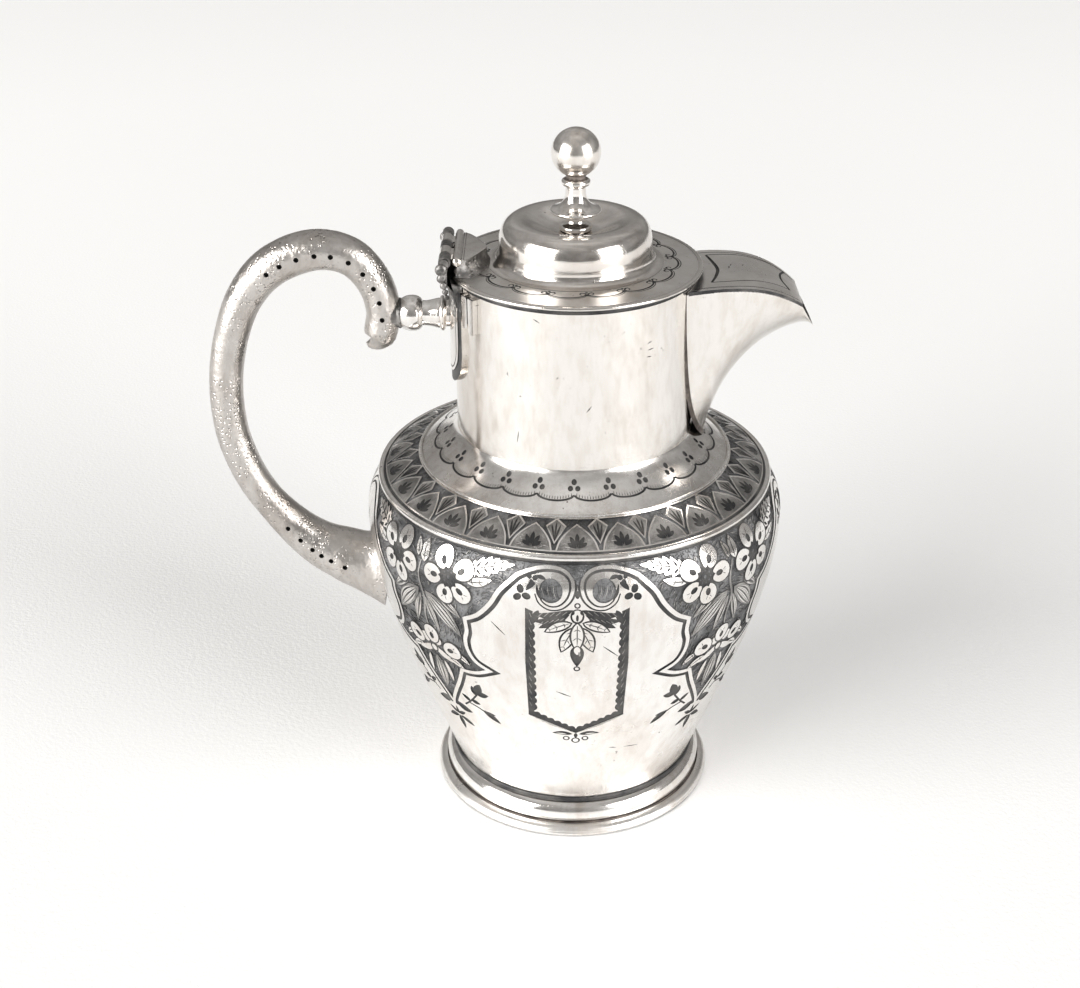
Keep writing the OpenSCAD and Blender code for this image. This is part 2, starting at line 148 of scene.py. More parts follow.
def silver(name, base=(0.90, 0.885, 0.865, 1), warm=(0.60, 0.535, 0.475, 1), tarnish=0.5,
        rough=(0.12, 0.27), wave=0.00012, pits=0.0):
    """Polished plate: cloudy warm tarnish, small dark spots, hairline scratches and hand-beaten waves."""
    s = Shader(name)
    cloud = s.ramp(s.noise(1.0, 5, 0.62, vector=s.stretched(60, 60, 26), distort=0.5), 0.42, 0.66)
    film = s.ramp(s.noise(1.0, 4, 0.65, vector=s.stretched(520, 520, 170)), 0.4, 0.68)
    stain = s.maths("ADD", s.maths("MULTIPLY", cloud, 0.6), s.maths("MULTIPLY", film, 0.4))
    color = s.mix(s.maths("MULTIPLY", stain, tarnish), base, warm)
    where = s.ramp(s.noise(95, 3, 0.6), 0.46, 0.58)
    spots = s.maths("MULTIPLY", s.ramp(s.noise(800, 3, 0.6), 0.68, 0.74), where)
    color = s.mix(s.maths("MULTIPLY", spots, 0.8), color, (0.13, 0.11, 0.10, 1))
    across = s.noise(1.0, 2, 0.5, vector=s.stretched(260, 260, 3200, (0.35, 0.25, 0)))
    along = s.noise(1.0, 2, 0.5, vector=s.stretched(3000, 240, 300, (0.1, 0.5, 0.7)))
    lines = s.maths("ADD", s.ramp(across, 0.62, 0.7), s.ramp(along, 0.64, 0.72))
    gloss = s.ramp(s.noise(120, 4, 0.6), 0.3, 0.75, *rough)
    roughness = s.maths("ADD", gloss, s.maths("MULTIPLY", lines, 0.02))
    normal = s.bump(s.noise(60, 1.5, 0.4), wave * 3)
    normal = s.bump(lines, SCRATCH, 1.0, normal)
    if pits:
        dots = s.ramp(s.cells(1150), 0.12, 0.42)
        patch = s.ramp(s.noise(1.0, 3, 0.6, vector=s.stretched(150, 150, 110)), 0.36, 0.62)
        sunk = s.maths("MULTIPLY", s.ramp(s.cells(1150), 0.1, 0.34, 1.0, 0.0), patch)
        color = s.mix(s.maths("MULTIPLY", sunk, 0.6), color, (0.17, 0.15, 0.135, 1))
        normal = s.bump(s.maths("MULTIPLY", dots, patch), pits, 1.0, normal)
        normal = s.bump(s.noise(420, 3, 0.6), pits * 0.9, 1.0, normal)
    return s.done(color, 1.0, roughness, normal)


def matted(name, low, high, metallic, rough, grain, depth):
    """Oxidised ground, punched all over with a small matting tool or hatched. The same grain also makes the
    painted shade in creases, inside the spout and on the lid tongue's flanks.
    """
    s = Shader(name)
    punched = s.ramp(s.cells(grain), 0.12, 0.5)
    cloud = s.noise(180, 4, 0.6)
    worn = s.maths("MULTIPLY", s.ramp(cloud, 0.35, 0.75), s.ramp(punched, 0.2, 1.0, 0.45, 1.0))
    color = s.mix(worn, low, high)
    normal = s.bump(punched, depth)
    normal = s.bump(s.noise(900, 3, 0.6), depth * 0.6, 1.0, normal)
    return s.done(color, metallic, s.ramp(cloud, 0.3, 0.7, rough, rough + 0.14), normal)


def pit_material():
    """Bottoms and walls of the drilled holes, painted near black as the shade inside them."""
    s = Shader("drilled_hole_shade")
    rough = s.ramp(s.noise(800), 0.3, 0.7, 0.6, 0.8)
    return s.done((0.012, 0.011, 0.010, 1), 0.2, rough)


def floor_material():
    s = Shader("floor_paper")
    away = s.new("ShaderNodeVectorMath", operation="LENGTH")
    s.give(away.inputs[0], s.coord)
    # painted light: the paper is made lighter away from the jug to even out the lamps' falloff, with a soft
    # random tone on top
    soft = s.maths("ADD", s.maths("MULTIPLY", s.noise(6, 3, 0.5), 0.15),
        s.ramp(away.outputs["Value"], 0.1, 0.8))
    color = s.mix(soft, (0.89, 0.893, 0.895, 1), (0.97, 0.972, 0.975, 1))
    return s.done(color, 0.0, 0.7, s.bump(s.noise(900, 3, 0.6), 0.0001))


MATERIALS = {
    "plain": silver("silver_polished", base=(0.875, 0.85, 0.815, 1), warm=(0.55, 0.485, 0.42, 1),
        tarnish=0.6),
    "mirror": silver("silver_mirror", base=(0.80, 0.775, 0.745, 1), tarnish=0.55, rough=(0.1, 0.2),
        wave=0.00006),
    "chased": silver("silver_chased", tarnish=0.6, rough=(0.13, 0.3), wave=0.0001),
    "turned": silver("silver_turned", tarnish=0.6, rough=(0.1, 0.24), wave=0.00004),
    "hammered": silver("silver_hammered", base=(0.56, 0.535, 0.51, 1), warm=(0.33, 0.295, 0.27, 1),
        tarnish=0.85, rough=(0.26, 0.42), wave=0.00002, pits=0.00011),
    "ground": matted("silver_oxidised", (0.07, 0.07, 0.072, 1), (0.27, 0.27, 0.275, 1), 0.85, 0.4, 2400,
        0.0001),
    "matt": matted("silver_matted", (0.20, 0.195, 0.19, 1), (0.47, 0.455, 0.44, 1), 0.95, 0.34, 2600,
        0.00007),
    # engraved lines; the same dark material is also painted shade at the neck rim, the lid's flange edge, the
    # spout cover's edge and the body's join with the foot
    "line": matted("silver_graved_and_shade", (0.04, 0.04, 0.042, 1), (0.14, 0.135, 0.13, 1), 0.8, 0.42, 3500,
        0.00003),
    "inside": silver("silver_inside", base=(0.72, 0.69, 0.65, 1), warm=(0.40, 0.35, 0.30, 1), tarnish=0.8,
        rough=(0.3, 0.5), wave=0.0002),
    "worn": silver("silver_worn", base=(0.80, 0.785, 0.765, 1), tarnish=0.6, rough=(0.26, 0.4),
        wave=0.00006),
    # painted shade in creases and joins between parts, with a little tarnish
    "crease_shade_and_tarnish": matted("silver_crease_shade_and_tarnish", (0.06, 0.05, 0.045, 1), (0.22, 0.19, 0.17, 1), 0.8, 0.42, 900,
        0.00005),
    # painted shade: near black for the inside of the spout and the underside of its cover
    "cavity_shade": matted("silver_unlit", (0.02, 0.018, 0.016, 1), (0.06, 0.05, 0.045, 1), 0.6, 0.55, 700,
        0.00005),
    # painted shade for the drilled holes in the handle
    "pit": pit_material(),
    "dark": matted("silver_dark", (0.075, 0.073, 0.071, 1), (0.38, 0.365, 0.355, 1), 0.92, 0.38, 900,
        0.00009),
}

# Materials of an engraved sheet, by the tone numbers below, and its inner face
ENGRAVED = ["chased", "matt", "line", "ground", "inside"]

# ---------------------------------------------------------------- outlines


def cubic(p, n=60, a=0.0, b=1.0):
    p = np.array(p, float)
    t = np.linspace(a, b, n + 1)[:, None]
    return (1 - t) ** 3 * p[0] + 3 * (1 - t) ** 2 * t * p[1] + 3 * (1 - t) * t * t * p[2] + t**3 * p[3]


def arc(c, r, a, b, n=12):
    t = np.radians(np.linspace(a, b, n + 1))
    return np.stack([c[0] + r * np.cos(t), c[1] + r * np.sin(t)], 1)


def join(*parts):
    p = np.vstack([np.atleast_2d(np.array(q, float)) for q in parts])
    far = np.hypot(*np.diff(p, axis=0).T) > 1e-6
    return p[np.concatenate([[True], far])]


def along(p):
    """How far along a line each of its points is."""
    return np.concatenate([[0], np.cumsum(np.linalg.norm(np.diff(p, axis=0), axis=1))])


def unit(v, least=1e-12):
    return v / np.maximum(np.linalg.norm(v, axis=1), least)[:, None]


def spaced(p, step):
    """The same line with points about `step` apart."""
    p = np.asarray(p, float)
    s = along(p)
    t = np.linspace(0, s[-1], max(2, int(round(s[-1] / step)) + 1))
    return np.stack([np.interp(t, s, p[:, k]) for k in range(p.shape[1])], 1)


def smooth(points, step=0.45):
    """Curve through the points, with points about `step` apart."""
    p = np.array(points, float)
    if len(p) < 3:
        return spaced(p, step)
    q = np.vstack([2 * p[0] - p[1], p, 2 * p[-1] - p[-2]])
    out = []
    for i in range(1, len(q) - 2):
        a, b, c, d = q[i - 1 : i + 3]
        t = np.linspace(0, 1, 9)[:-1, None]
        out.append(0.5 * (2 * b + (c - a) * t + (2 * a - 5 * b + 4 * c - d) * t * t
            + (3 * b - a - 3 * c + d) * t**3))
    return spaced(np.vstack(out + [p[-1:]]), step)


def closed(p, step):
    """A closed outline with points about `step` apart."""
    return spaced(np.vstack([p, p[:1]]), step)[:-1]


def box(x0, y0, x1, y1, step):
    return closed(np.array([[x0, y0], [x1, y0], [x1, y1], [x0, y1]], float), step)


# ---------------------------------------------------------------- mesh building


class Builder:
    """Gathers faces, with a normal for every corner, and makes one piece of them."""

    def __init__(self):
        self.co, self.faces, self.normals, self.mats, self.count = [], [], [], [], 0

    def add(self, co, faces, corner_normals, mats):
        self.co.append(np.asarray(co, float))
        self.faces.extend([tuple(int(i) + self.count for i in f) for f in faces])
        self.normals.append(np.asarray(corner_normals, float).reshape(-1, 3))
        self.mats.extend(mats if hasattr(mats, "__len__") else [mats] * len(faces))
        self.count += len(co)

    def piece(self, name, materials, body, nodes):
        mesh = bpy.data.meshes.new(name)
        mesh.from_pydata((np.vstack(self.co) * MM).tolist(), [], self.faces)
        mesh.polygons.foreach_set("material_index", np.array(self.mats, np.int32))
        mesh.polygons.foreach_set("use_smooth", np.ones(len(self.faces), bool))
        for m in materials:
            mesh.materials.append(MATERIALS[m])
        mesh.update()
        mesh.normals_split_custom_set(unit(np.vstack(self.normals)).tolist())
        obj = bpy.data.objects.new(name, mesh)
        bpy.context.scene.collection.objects.link(obj)
        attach(obj, body)
        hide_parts(*nodes)


# Neighbouring faces of a turned piece shade as one up to 35 degrees apart
SMOOTH_UNDER = math.cos(math.radians(35))


def lathe(b, outline, mat=0, segs=192, back_at=None, flute=None):
    """Surface of revolution from [radius, height] points, walked with the solid on the left.

    It stands on the jug's axis, or points backwards from that axis at the height back_at.
    """
    p = join(outline)
    d = np.diff(p, axis=0)
    seg_n = unit(np.stack([d[:, 1], -d[:, 0]], 1))
    ang = np.linspace(0, TAU, segs, endpoint=False)
    cos, sin = np.cos(ang), np.sin(ang)

    def turn(r, h, n=False):
        k = 1.0 if (flute is None or n) else flute(ang, h)
        x, y = r * cos * k, r * sin * k
        z = np.full(segs, h)
        return np.stack([x, y, z] if back_at is None else [-z, y, x], 1)

    rings, co, total = [], [], 0
    for r, h in p:
        if r < 1e-6:
            co.append(turn(0, h)[:1])
            rings.append((total, 1))
            total += 1
        else:
            co.append(turn(r, h))
            rings.append((total, segs))
            total += segs
    co = np.vstack(co) + [0, 0, back_at or 0]
    corner = []
    for i in range(len(seg_n)):
        ends = []
        for j, k in ((i - 1, i), (i + 1, i + 1)):
            own = seg_n[i]
            if 0 <= j < len(seg_n) and np.dot(own, seg_n[j]) > SMOOTH_UNDER:
                own = own + seg_n[j]
            ends.append(turn(own[0], own[1], True))
        corner.append(ends)
    faces, normals = [], []
    for i, (low, high) in enumerate(corner):
        (a, na), (c, nc) = rings[i], rings[i + 1]
        for j in range(segs):
            k = (j + 1) % segs
            if na == 1 and nc == 1:
                continue
            if na == 1:
                faces.append((a, c + k, c + j))
                normals += [low[j], high[k], high[j]]
            elif nc == 1:
                faces.append((a + j, a + k, c))
                normals += [low[j], low[k], high[j]]
            else:
                faces.append((a + j, a + k, c + k, c + j))
                normals += [low[j], low[k], high[k], high[j]]
    b.add(co, faces, normals, mat)


def grid_skin(b, rows, mat=0, round_up=False, caps=False):
    """Skin over equal rows of points. round_up joins each row's ends, caps fills the first and last row."""
    rows = np.asarray(rows, float)
    n, m = rows.shape[:2]
    co = rows.reshape(-1, 3)
    span = m if round_up else m - 1
    cells = [(i * m, j, (j + 1) % m) for i in range(n - 1) for j in range(span)]
    faces = [(i + j, i + k, i + m + k, i + m + j) for i, j, k in cells]
    vn = face_average(co, faces)
    b.add(co, faces, [vn[k] for f in faces for k in f],
        np.repeat(mat, span) if hasattr(mat, "__len__") else mat)
    if caps:
        for row, turn in ((rows[0], -1), (rows[-1], 1)):
            ring = row[::turn]
            centre = ring.mean(0)
            co2 = np.vstack([ring, centre])
            fan = [(k, (k + 1) % m, m) for k in range(m)]
            flat = np.cross(ring[m // 3] - centre, ring[2 * m // 3] - centre)
            b.add(co2, fan, [flat] * (3 * m), mat[0] if hasattr(mat, "__len__") else mat)


def face_average(co, faces):
    out = np.zeros_like(co)
    for size in (3, 4):
        f = np.array([q for q in faces if len(q) == size], int)
        if len(f) == 0:
            continue
        p = [co[f[:, k]] for k in range(size)]
        n = np.cross(p[2] - p[0], p[3] - p[1]) if size == 4 else np.cross(p[1] - p[0], p[2] - p[0])
        for k in range(size):
            np.add.at(out, f[:, k], n)
    return unit(out)


# ---------------------------------------------------------------- chased relief

BRIGHT, MATT, LINE, GROUND, HOLE = 0, 1, 2, 3, -1
DEPTHS = np.array([0.0, 0.08, 0.17, 0.25])


def within(points, poly):
    """Which points have the closed line wound round them."""
    x, y = points.T
    wind = np.zeros(len(points), int)
    for (a, c), (d, e) in zip(poly, np.roll(poly, -1, 0)):
        side = (d - a) * (y - c) - (x - a) * (e - c)
        wind += (c <= y) & (e > y) & (side > 0)
        wind -= (c > y) & (e <= y) & (side < 0)
    return wind != 0


def add_walls(b, quads, mats):
    """Separate four-sided faces, each with its own flat normal."""
    n = np.cross(quads[:, 2] - quads[:, 0], quads[:, 3] - quads[:, 1])
    b.add(quads.reshape(-1, 3), np.arange(len(quads) * 4).reshape(-1, 4), np.repeat(n, 4, 0), mats)


def relief(b, place, shapes, u_range, v_range, step, wrap=False, back=None, back_mat=4, rim_mat=0,
        depths=DEPTHS, measured=False):
    """A sheet with shapes cut to their depths.

    place(u, v, depth) gives the sheet's points, and shapes are painted in order. wrap joins its two ends,
    back adds an inner face at that depth, and measured takes the normals from the faces.
    """
    (u0, u1), (v0, v1) = u_range, v_range
    us = np.linspace(u0, u1, max(2, int(round((u1 - u0) / step))) + 1)
    vs = np.linspace(v0, v1, max(2, int(round((v1 - v0) / step))) + 1)
    pts, edges, used = [], [], []
    for poly, tone in shapes:
        poly = np.asarray(poly, float)
        if poly[:, 0].max() < u0 or poly[:, 0].min() > u1 or poly[:, 1].max() < v0 or poly[:, 1].min() > v1:
            continue
        poly = poly[np.linalg.norm(poly - np.roll(poly, 1, 0), axis=1) > 1e-4]
        k = len(pts)
        pts.extend(poly.tolist())
        edges.extend([(k + i, k + (i + 1) % len(poly)) for i in range(len(poly))])
        used.append((poly, tone))
    tree = KDTree(max(1, len(pts)))
    for i, p in enumerate(pts):
        tree.insert((p[0], p[1], 0), i)
    tree.balance()
    index = {}
    nu, nv = len(us), len(vs)
    for i, u in enumerate(us):
        for j, v in enumerate(vs):
            rim = i in (0, nu - 1) or j in (0, nv - 1)
            if not rim and len(used) and tree.find((u, v, 0))[2] < 0.4 * step:
                continue
            index[i, j] = len(pts)
            pts.append([u, v])
    for i in range(nu - 1):
        edges += [(index[i, 0], index[i + 1, 0]), (index[i, nv - 1], index[i + 1, nv - 1])]
    for j in range(nv - 1):
        edges += [(index[0, j], index[0, j + 1]), (index[nu - 1, j], index[nu - 1, j + 1])]
    out = delaunay_2d_cdt([Vector(p) for p in pts], edges, [], 0, 1e-5, False)
    flat = np.array([tuple(p) for p in out[0]])
    tri = np.array([tuple(f) for f in out[2]], int)
    a, c, d = flat[tri[:, 0]], flat[tri[:, 1]], flat[tri[:, 2]]
    area = (c[:, 0] - a[:, 0]) * (d[:, 1] - a[:, 1]) - (c[:, 1] - a[:, 1]) * (d[:, 0] - a[:, 0])
    tri[area < 0] = tri[area < 0][:, ::-1]
    mid = (a + c + d) / 3
    keep = (mid[:, 0] > u0) & (mid[:, 0] < u1) & (mid[:, 1] > v0) & (mid[:, 1] < v1) & (np.abs(area) > 1e-9)
    tri, mid = tri[keep], mid[keep]
    tone = np.zeros(len(tri), int)
    for poly, t in used:
        (xa, ya), (xb, yb) = poly.min(0), poly.max(0)
        near = np.nonzero((mid[:, 0] >= xa) & (mid[:, 0] <= xb) & (mid[:, 1] >= ya) & (mid[:, 1] <= yb))[0]
        tone[near[within(mid[near], poly)]] = t
    tri, tone = tri[tone != HOLE], tone[tone != HOLE]
    if wrap:
        left = {round(float(flat[i, 1]), 4): i for i in np.nonzero(np.abs(flat[:, 0] - u0) < 1e-5)[0]}
        same = np.arange(len(flat))
        for i in np.nonzero(np.abs(flat[:, 0] - u1) < 1e-5)[0]:
            same[i] = left.get(round(float(flat[i, 1]), 4), i)
        tri = same[tri]
        good = (tri[:, 0] != tri[:, 1]) & (tri[:, 1] != tri[:, 2]) & (tri[:, 0] != tri[:, 2])
        tri, tone = tri[good], tone[good]
    key = tri * 8 + tone[:, None]
    names, inv = np.unique(key, return_inverse=True)
    face = inv.reshape(-1, 3)
    u, v, deep = flat[names // 8, 0], flat[names // 8, 1], np.asarray(depths)[names % 8]
    co = place(u, v, deep)
    if measured:
        vn = face_average(co, [tuple(f) for f in face])
    else:
        e = 0.12
        across = place(u + e, v, deep) - place(u - e, v, deep)
        vn = unit(np.cross(across, place(u, v + e, deep) - place(u, v - e, deep)))
    b.add(co, face, vn[face], tone)
    start = np.stack([tri, np.roll(tri, -1, 1)], 2).reshape(-1, 2)
    corner = np.stack([face, np.roll(face, -1, 1)], 2).reshape(-1, 2)
    owner = np.repeat(np.arange(len(tri)), 3)
    lo, hi = start.min(1), start.max(1)
    order = np.lexsort((hi, lo))
    quads, sides, free = [], [], []
    i = 0
    while i < len(order):
        p = order[i]
        q = order[i + 1] if i + 1 < len(order) else p
        if q == p or lo[q] != lo[p] or hi[q] != hi[p]:
            free.append(p)
            i += 1
            continue
        i += 2
        tp, tq = tone[owner[p]], tone[owner[q]]
        if tp != tq:
            (pa, pb), (qb, qa) = corner[p], corner[q]
            quads.append((pb, pa, qa, qb))
            sides.append(max(tp, tq))
    if quads:
        add_walls(b, co[np.array(quads)], sides)
    if back is not None:
        names, inv = np.unique(tri, return_inverse=True)
        face = inv.reshape(-1, 3)[:, ::-1]
        inner = place(flat[names, 0], flat[names, 1], np.full(len(names), back))
        b.add(inner, face, face_average(inner, [tuple(f) for f in face])[face], back_mat)
        where = {k: i for i, k in enumerate(names)}
        f = np.array([corner[p][::-1] for p in free])
        g = np.array([[where[start[p][0]], where[start[p][1]]] for p in free])
        add_walls(b, np.stack([co[f[:, 0]], co[f[:, 1]], inner[g[:, 0]], inner[g[:, 1]]], 1), rim_mat)


rng = np.random.default_rng(60)
WAVES = []
for size in (13, 16, 19, 23, 27, 31, 36, 42, 48, 55):
    way = rng.normal(size=3)
    WAVES.append((TAU / size * way / np.linalg.norm(way), rng.uniform(0, TAU), 0.0007 * size))


def wobble(p):
    """Small slow hollows of hand-raised sheet, never above its true shape."""
    return 0.5 * sum(a * (1 + np.sin(p @ k + f)) for k, f, a in WAVES)


class Turned:
    """Sheet turned about the jug's axis, from a fine line of [radius, height] points.

    u is length round it at radius ref, v is length along the line.
    """

    def __init__(self, line, ref, waves=1.0):
        p = np.asarray(line, float)
        a, z = p[0] - p[1], p[-1] - p[-2]
        self.length = float(np.linalg.norm(np.diff(p, axis=0), axis=1).sum())
        p = np.vstack([p[0] + a / np.linalg.norm(a) * 2, p, p[-1] + z / np.linalg.norm(z) * 2])
        self.s = along(p) - 2
        self.p, self.ref, self.waves = p, ref, waves
        d = np.gradient(p, axis=0)
        self.n = unit(np.stack([d[:, 1], -d[:, 0]], 1))
        self.round = TAU * ref

    def __call__(self, u, v, depth):
        r, z = np.interp(v, self.s, self.p[:, 0]), np.interp(v, self.s, self.p[:, 1])
        nr, nz = np.interp(v, self.s, self.n[:, 0]), np.interp(v, self.s, self.n[:, 1])
        az = u / self.ref
        c, s = np.cos(az), np.sin(az)
        base = np.stack([r * c, r * s, z], 1)
        depth = depth + self.waves * wobble(base)
        return base - np.stack([nr * c, nr * s, nz], 1) * depth[:, None]

    def by_height(self, az, pts):
        """Points of [distance to the right of azimuth az, height] on the sheet."""
        pts = np.asarray(pts, float)
        r = np.interp(pts[:, 1], self.p[:, 1], self.p[:, 0])
        v = np.interp(pts[:, 1], self.p[:, 1], self.s)
        v = v + np.maximum(pts[:, 1] - self.p[-1, 1], 0)
        return np.stack([(math.radians(az) + pts[:, 0] / r) * self.ref, v], 1)

    def by_radius(self, az, pts):
        """Points of [distance to the right of azimuth az, radius], where the radius falls along the line."""
        pts = np.asarray(pts, float)
        r = pts[:, 1]
        v = np.interp(-r, -self.p[:, 0], self.s)
        return np.stack([(math.radians(az) + pts[:, 0] / r) * self.ref, v], 1)


# ---------------------------------------------------------------- chasing tools


def stroke(points, width, tip=(1.0, 1.0)):
    """Outline of a line of this width. tip gives the share of the width at its two ends."""
    p = np.asarray(points, float)
    d = np.diff(p, axis=0)
    n = unit(np.stack([-d[:, 1], d[:, 0]], 1), 1e-9)
    before = np.vstack([n[:1], n])
    m = unit(before + np.vstack([n, n[-1:]]), 1e-6)
    m /= np.maximum((m * before).sum(1), 0.45)[:, None]
    t = np.linspace(0, 1, len(p))
    half = 0.5 * np.asarray(width)
    for share, way in zip(tip, (t, 1 - t)):
        half = half * (share + (1 - share) * np.clip(way / 0.35, 0, 1))
    half = np.broadcast_to(half, (len(p),))[:, None]
    return np.vstack([p + m * half, (p - m * half)[::-1]])


def vein(a, c, bend):
    """Start, unit step and unit side of a leaf, and its bent middle line as a function of 0 to 1."""
    a, d = np.array(a, float), np.array(c, float) - a
    size = np.linalg.norm(d)
    side = np.array([-d[1], d[0]]) / size
    return a, d / size, side, lambda t, lift=0.0: a + d * t + side * (bend + lift) * np.sin(math.pi * t)


def blade(a, c, width, bend=0.0, n=9, full=0.45):
    """Leaf from a to c, pointed at both ends, widest at `full` of its length."""
    _, _, side, line = vein(a, c, bend)
    t = np.linspace(0, 1, n + 1)[:, None]
    mid = line(t)
    k = math.log(0.5) / math.log(full)
    half = width / 2 * np.sin(math.pi * t**k) ** 0.8
    return np.vstack([(mid + side * half)[:-1], (mid - side * half)[::-1][:-1]])


def egg(c, rx, ry, turn=0.0, n=16, point=0.0):
    """Oval round c, turned in degrees, with one end drawn out by `point`."""
    t = np.linspace(0, TAU, n, endpoint=False)
    x, y = rx * np.cos(t), ry * np.sin(t) * (1 - point * np.cos(t))
    a = math.radians(turn)
    return np.stack([c[0] + x * math.cos(a) - y * math.sin(a), c[1] + x * math.sin(a) + y * math.cos(a)], 1)


def ring_dot(c, r, w=0.32):
    return [(egg(c, r, r, n=14), LINE), (egg(c, r - w, r - w, n=12), BRIGHT)]


def leaf(a, c, width, bend=0.0, hatch=5, rim=0.35, full=0.45):
    """Leaf with a graved edge, a middle vein and short side cuts."""
    a, way, side, line = vein(a, c, bend)
    out = [(blade(a - way * rim, c + way * rim, width + 2 * rim, bend, full=full), LINE)]
    out.append((blade(a, c, width, bend, full=full), BRIGHT))
    out.append((stroke(line(np.linspace(0.08, 0.84, 7)[:, None]), 0.24, (0.6, 0.2)), LINE))
    for i in range(hatch):
        t = 0.2 + 0.6 * i / max(1, hatch - 1)
        root = line(t)
        reach = width * 0.42 * math.sin(math.pi * t**0.87)
        for s in (-1, 1):
            end = root + side * s * reach + way * reach * 0.9
            out.append((stroke([root + (end - root) * 0.2, root + (end - root) * 0.62, end], 0.2,
                (0.8, 0.25)), LINE))
    return out


def plume(a, c, width, bend=0.0):
    """Grey leaf filled with long bright cuts that follow it."""
    line = vein(a, c, bend)[-1]
    out = [(blade(a, c, width + 0.5, bend), LINE), (blade(a, c, width, bend), MATT)]
    count = max(3, int(width * 2.2))
    for k in range(count):
        q = -0.8 + 1.6 * k / (count - 1)
        t = np.linspace(0.1 + 0.16 * q * q, 0.92 - 0.12 * q * q - rng.uniform(0, 0.12), 7)[:, None]
        cut = stroke(line(t, q * width * 0.46), rng.uniform(0.2, 0.34), (0.2, 0.2))
        out.append((cut, BRIGHT if k % 3 != 1 else LINE))
    return out


def frond(a, c, width, bend=0.0):
    """Bright leaf with a toothed edge and dark oval cuts."""
    a, way, side, line = vein(a, c, bend)

    def edge(w):
        up = []
        for k in range(6):
            t0, t1 = k / 6, (k + 1) / 6
            for t, f in ((t0 + 0.02, 0.72), (t0 + 0.1, 1.0), (t1 - 0.005, 1.14)):
                up.append((t, f * math.sin(math.pi * (0.06 + 0.92 * t) ** 0.75)))
        top = [line(t) + side * f * w / 2 for t, f in up]
        low = [line(t) - side * f * w / 2 for t, f in up]
        return np.array([a] + top + [c] + low[::-1])

    out = [(edge(width + 0.75), LINE), (edge(width), BRIGHT)]
    out.append((stroke(line(np.linspace(0.04, 0.9, 8)[:, None]), 0.3, (0.6, 0.2)), LINE))
    for k in range(4):
        root = line(0.2 + 0.17 * k)
        reach = width * (0.4 - 0.05 * k)
        for q in (-1, 1):
            end = root + side * q * reach + way * reach * 0.75
            out.append((blade(root + side * q * 0.15, end, 0.62 - 0.08 * k), LINE))
    return out


def polar(c, r, a):
    return np.array([c[0] + r * math.cos(a), c[1] + r * math.sin(a)])


def petal(c, angle, reach, width, rim=0.38, spot=0.42):
    """One petal whose middle is `reach` from the flower's centre, in degrees from the right."""
    angle, width = angle + rng.normal() * 3, width * rng.uniform(0.92, 1.06)
    a = math.radians(angle)
    m = polar(c, reach, a)
    long = width * 0.56
    out = [(egg(m, long + rim, width / 2 + rim, angle, 18, -0.12), LINE),
        (egg(m, long, width / 2, angle, 18, -0.12), BRIGHT)]
    if spot:
        out.append((egg(polar(m, -width * 0.1, a), width * 0.22, width * 0.15, angle, 10), LINE))
        for k in (-1, 1):
            e = polar(m, width * 0.36, a + k * 0.5)
            out.append((stroke([m + (e - m) * 0.45, m + (e - m) * 0.75, e], 0.16, (0.9, 0.3)), LINE))
    return out


def flower(c, angles, reach, width, heart):
    out = []
    for a in angles:
        out += petal(c, a, reach, width)
    star = egg(c, heart, heart, n=30)
    star[::3] += (star[::3] - c) * 0.22
    out.append((star, LINE))
    for k in range(9):
        out.append((egg(polar(c, heart * 0.66, TAU * k / 9 + 0.4), 0.24, 0.24, n=8), GROUND))
    out.append((egg(c, 0.5, 0.5, n=8), GROUND))
    return out


def flip(shapes):
    return [(np.asarray(p)[::-1] * [-1, 1], t) for p, t in shapes]


def both(shapes):
    return shapes + flip(shapes)


def trefoil(c, r, turn=90):
    out = []
    for k in range(3):
        a = math.radians(turn + 120 * k)
        out.append((egg(polar(c, r, a), r * 0.85, r * 0.68, math.degrees(a), 12), LINE))
    return out


# ---------------------------------------------------------------- body

body_curve = cubic([[29.3, 8.4], [34.5, 24], [47.7, 52], [47.7, 72]], 200)
body_turn = cubic([[47.7, 72], [47.7, 76], [46.4, 78.3], [44.8, 80.4]], 60)
BODY = Turned(join(body_curve, body_turn), 45.0)
# Thickness of the body's and the neck's sheet
WALL = 0.9
# A height past the top of the body's sheet
OVER_SEAM = 82.5

# Edge of a flower panel: [right of its middle, height], from the tip up to the scroll
EDGE_LOW = smooth([[0, 34.4], [0.9, 36.6], [3.0, 40.2], [5.3, 44.0], [7.4, 48.3]])
EDGE_CUSP = smooth([[7.4, 48.3], [9.4, 48.5], [12.0, 49.2], [15.2, 50.8]])
EDGE_SIDE = smooth([[15.2, 50.8], [12.2, 52.6], [10.9, 55.4], [10.9, 58.6], [11.8, 61.4], [11.8, 64.6]])
EDGE_TOP = smooth([[11.8, 64.6], [15.2, 66.7], [18.4, 70.3], [20.5, 74.0], [22.3, 76.3]])
# The scroll at a plain field: [right of the field's middle, height]
SCROLL = smooth([[-12.9, 77.9], [-10.4, 79.0], [-7.0, 79.8], [-3.6, 79.6], [-1.5, 78.3], [-0.9, 76.2],
    [-1.7, 73.5], [-3.6, 71.6], [-5.9, 71.3], [-7.8, 72.6], [-8.6, 74.6]])


def border(side, panel_az):
    """The whole edge line of a panel on one side, as points on the sheet."""
    field_az = panel_az + 45 * side
    low = [BODY.by_height(panel_az, p * [side, 1]) for p in (EDGE_LOW, EDGE_CUSP, EDGE_SIDE, EDGE_TOP)]
    return low, BODY.by_height(field_az, SCROLL * [side, 1])


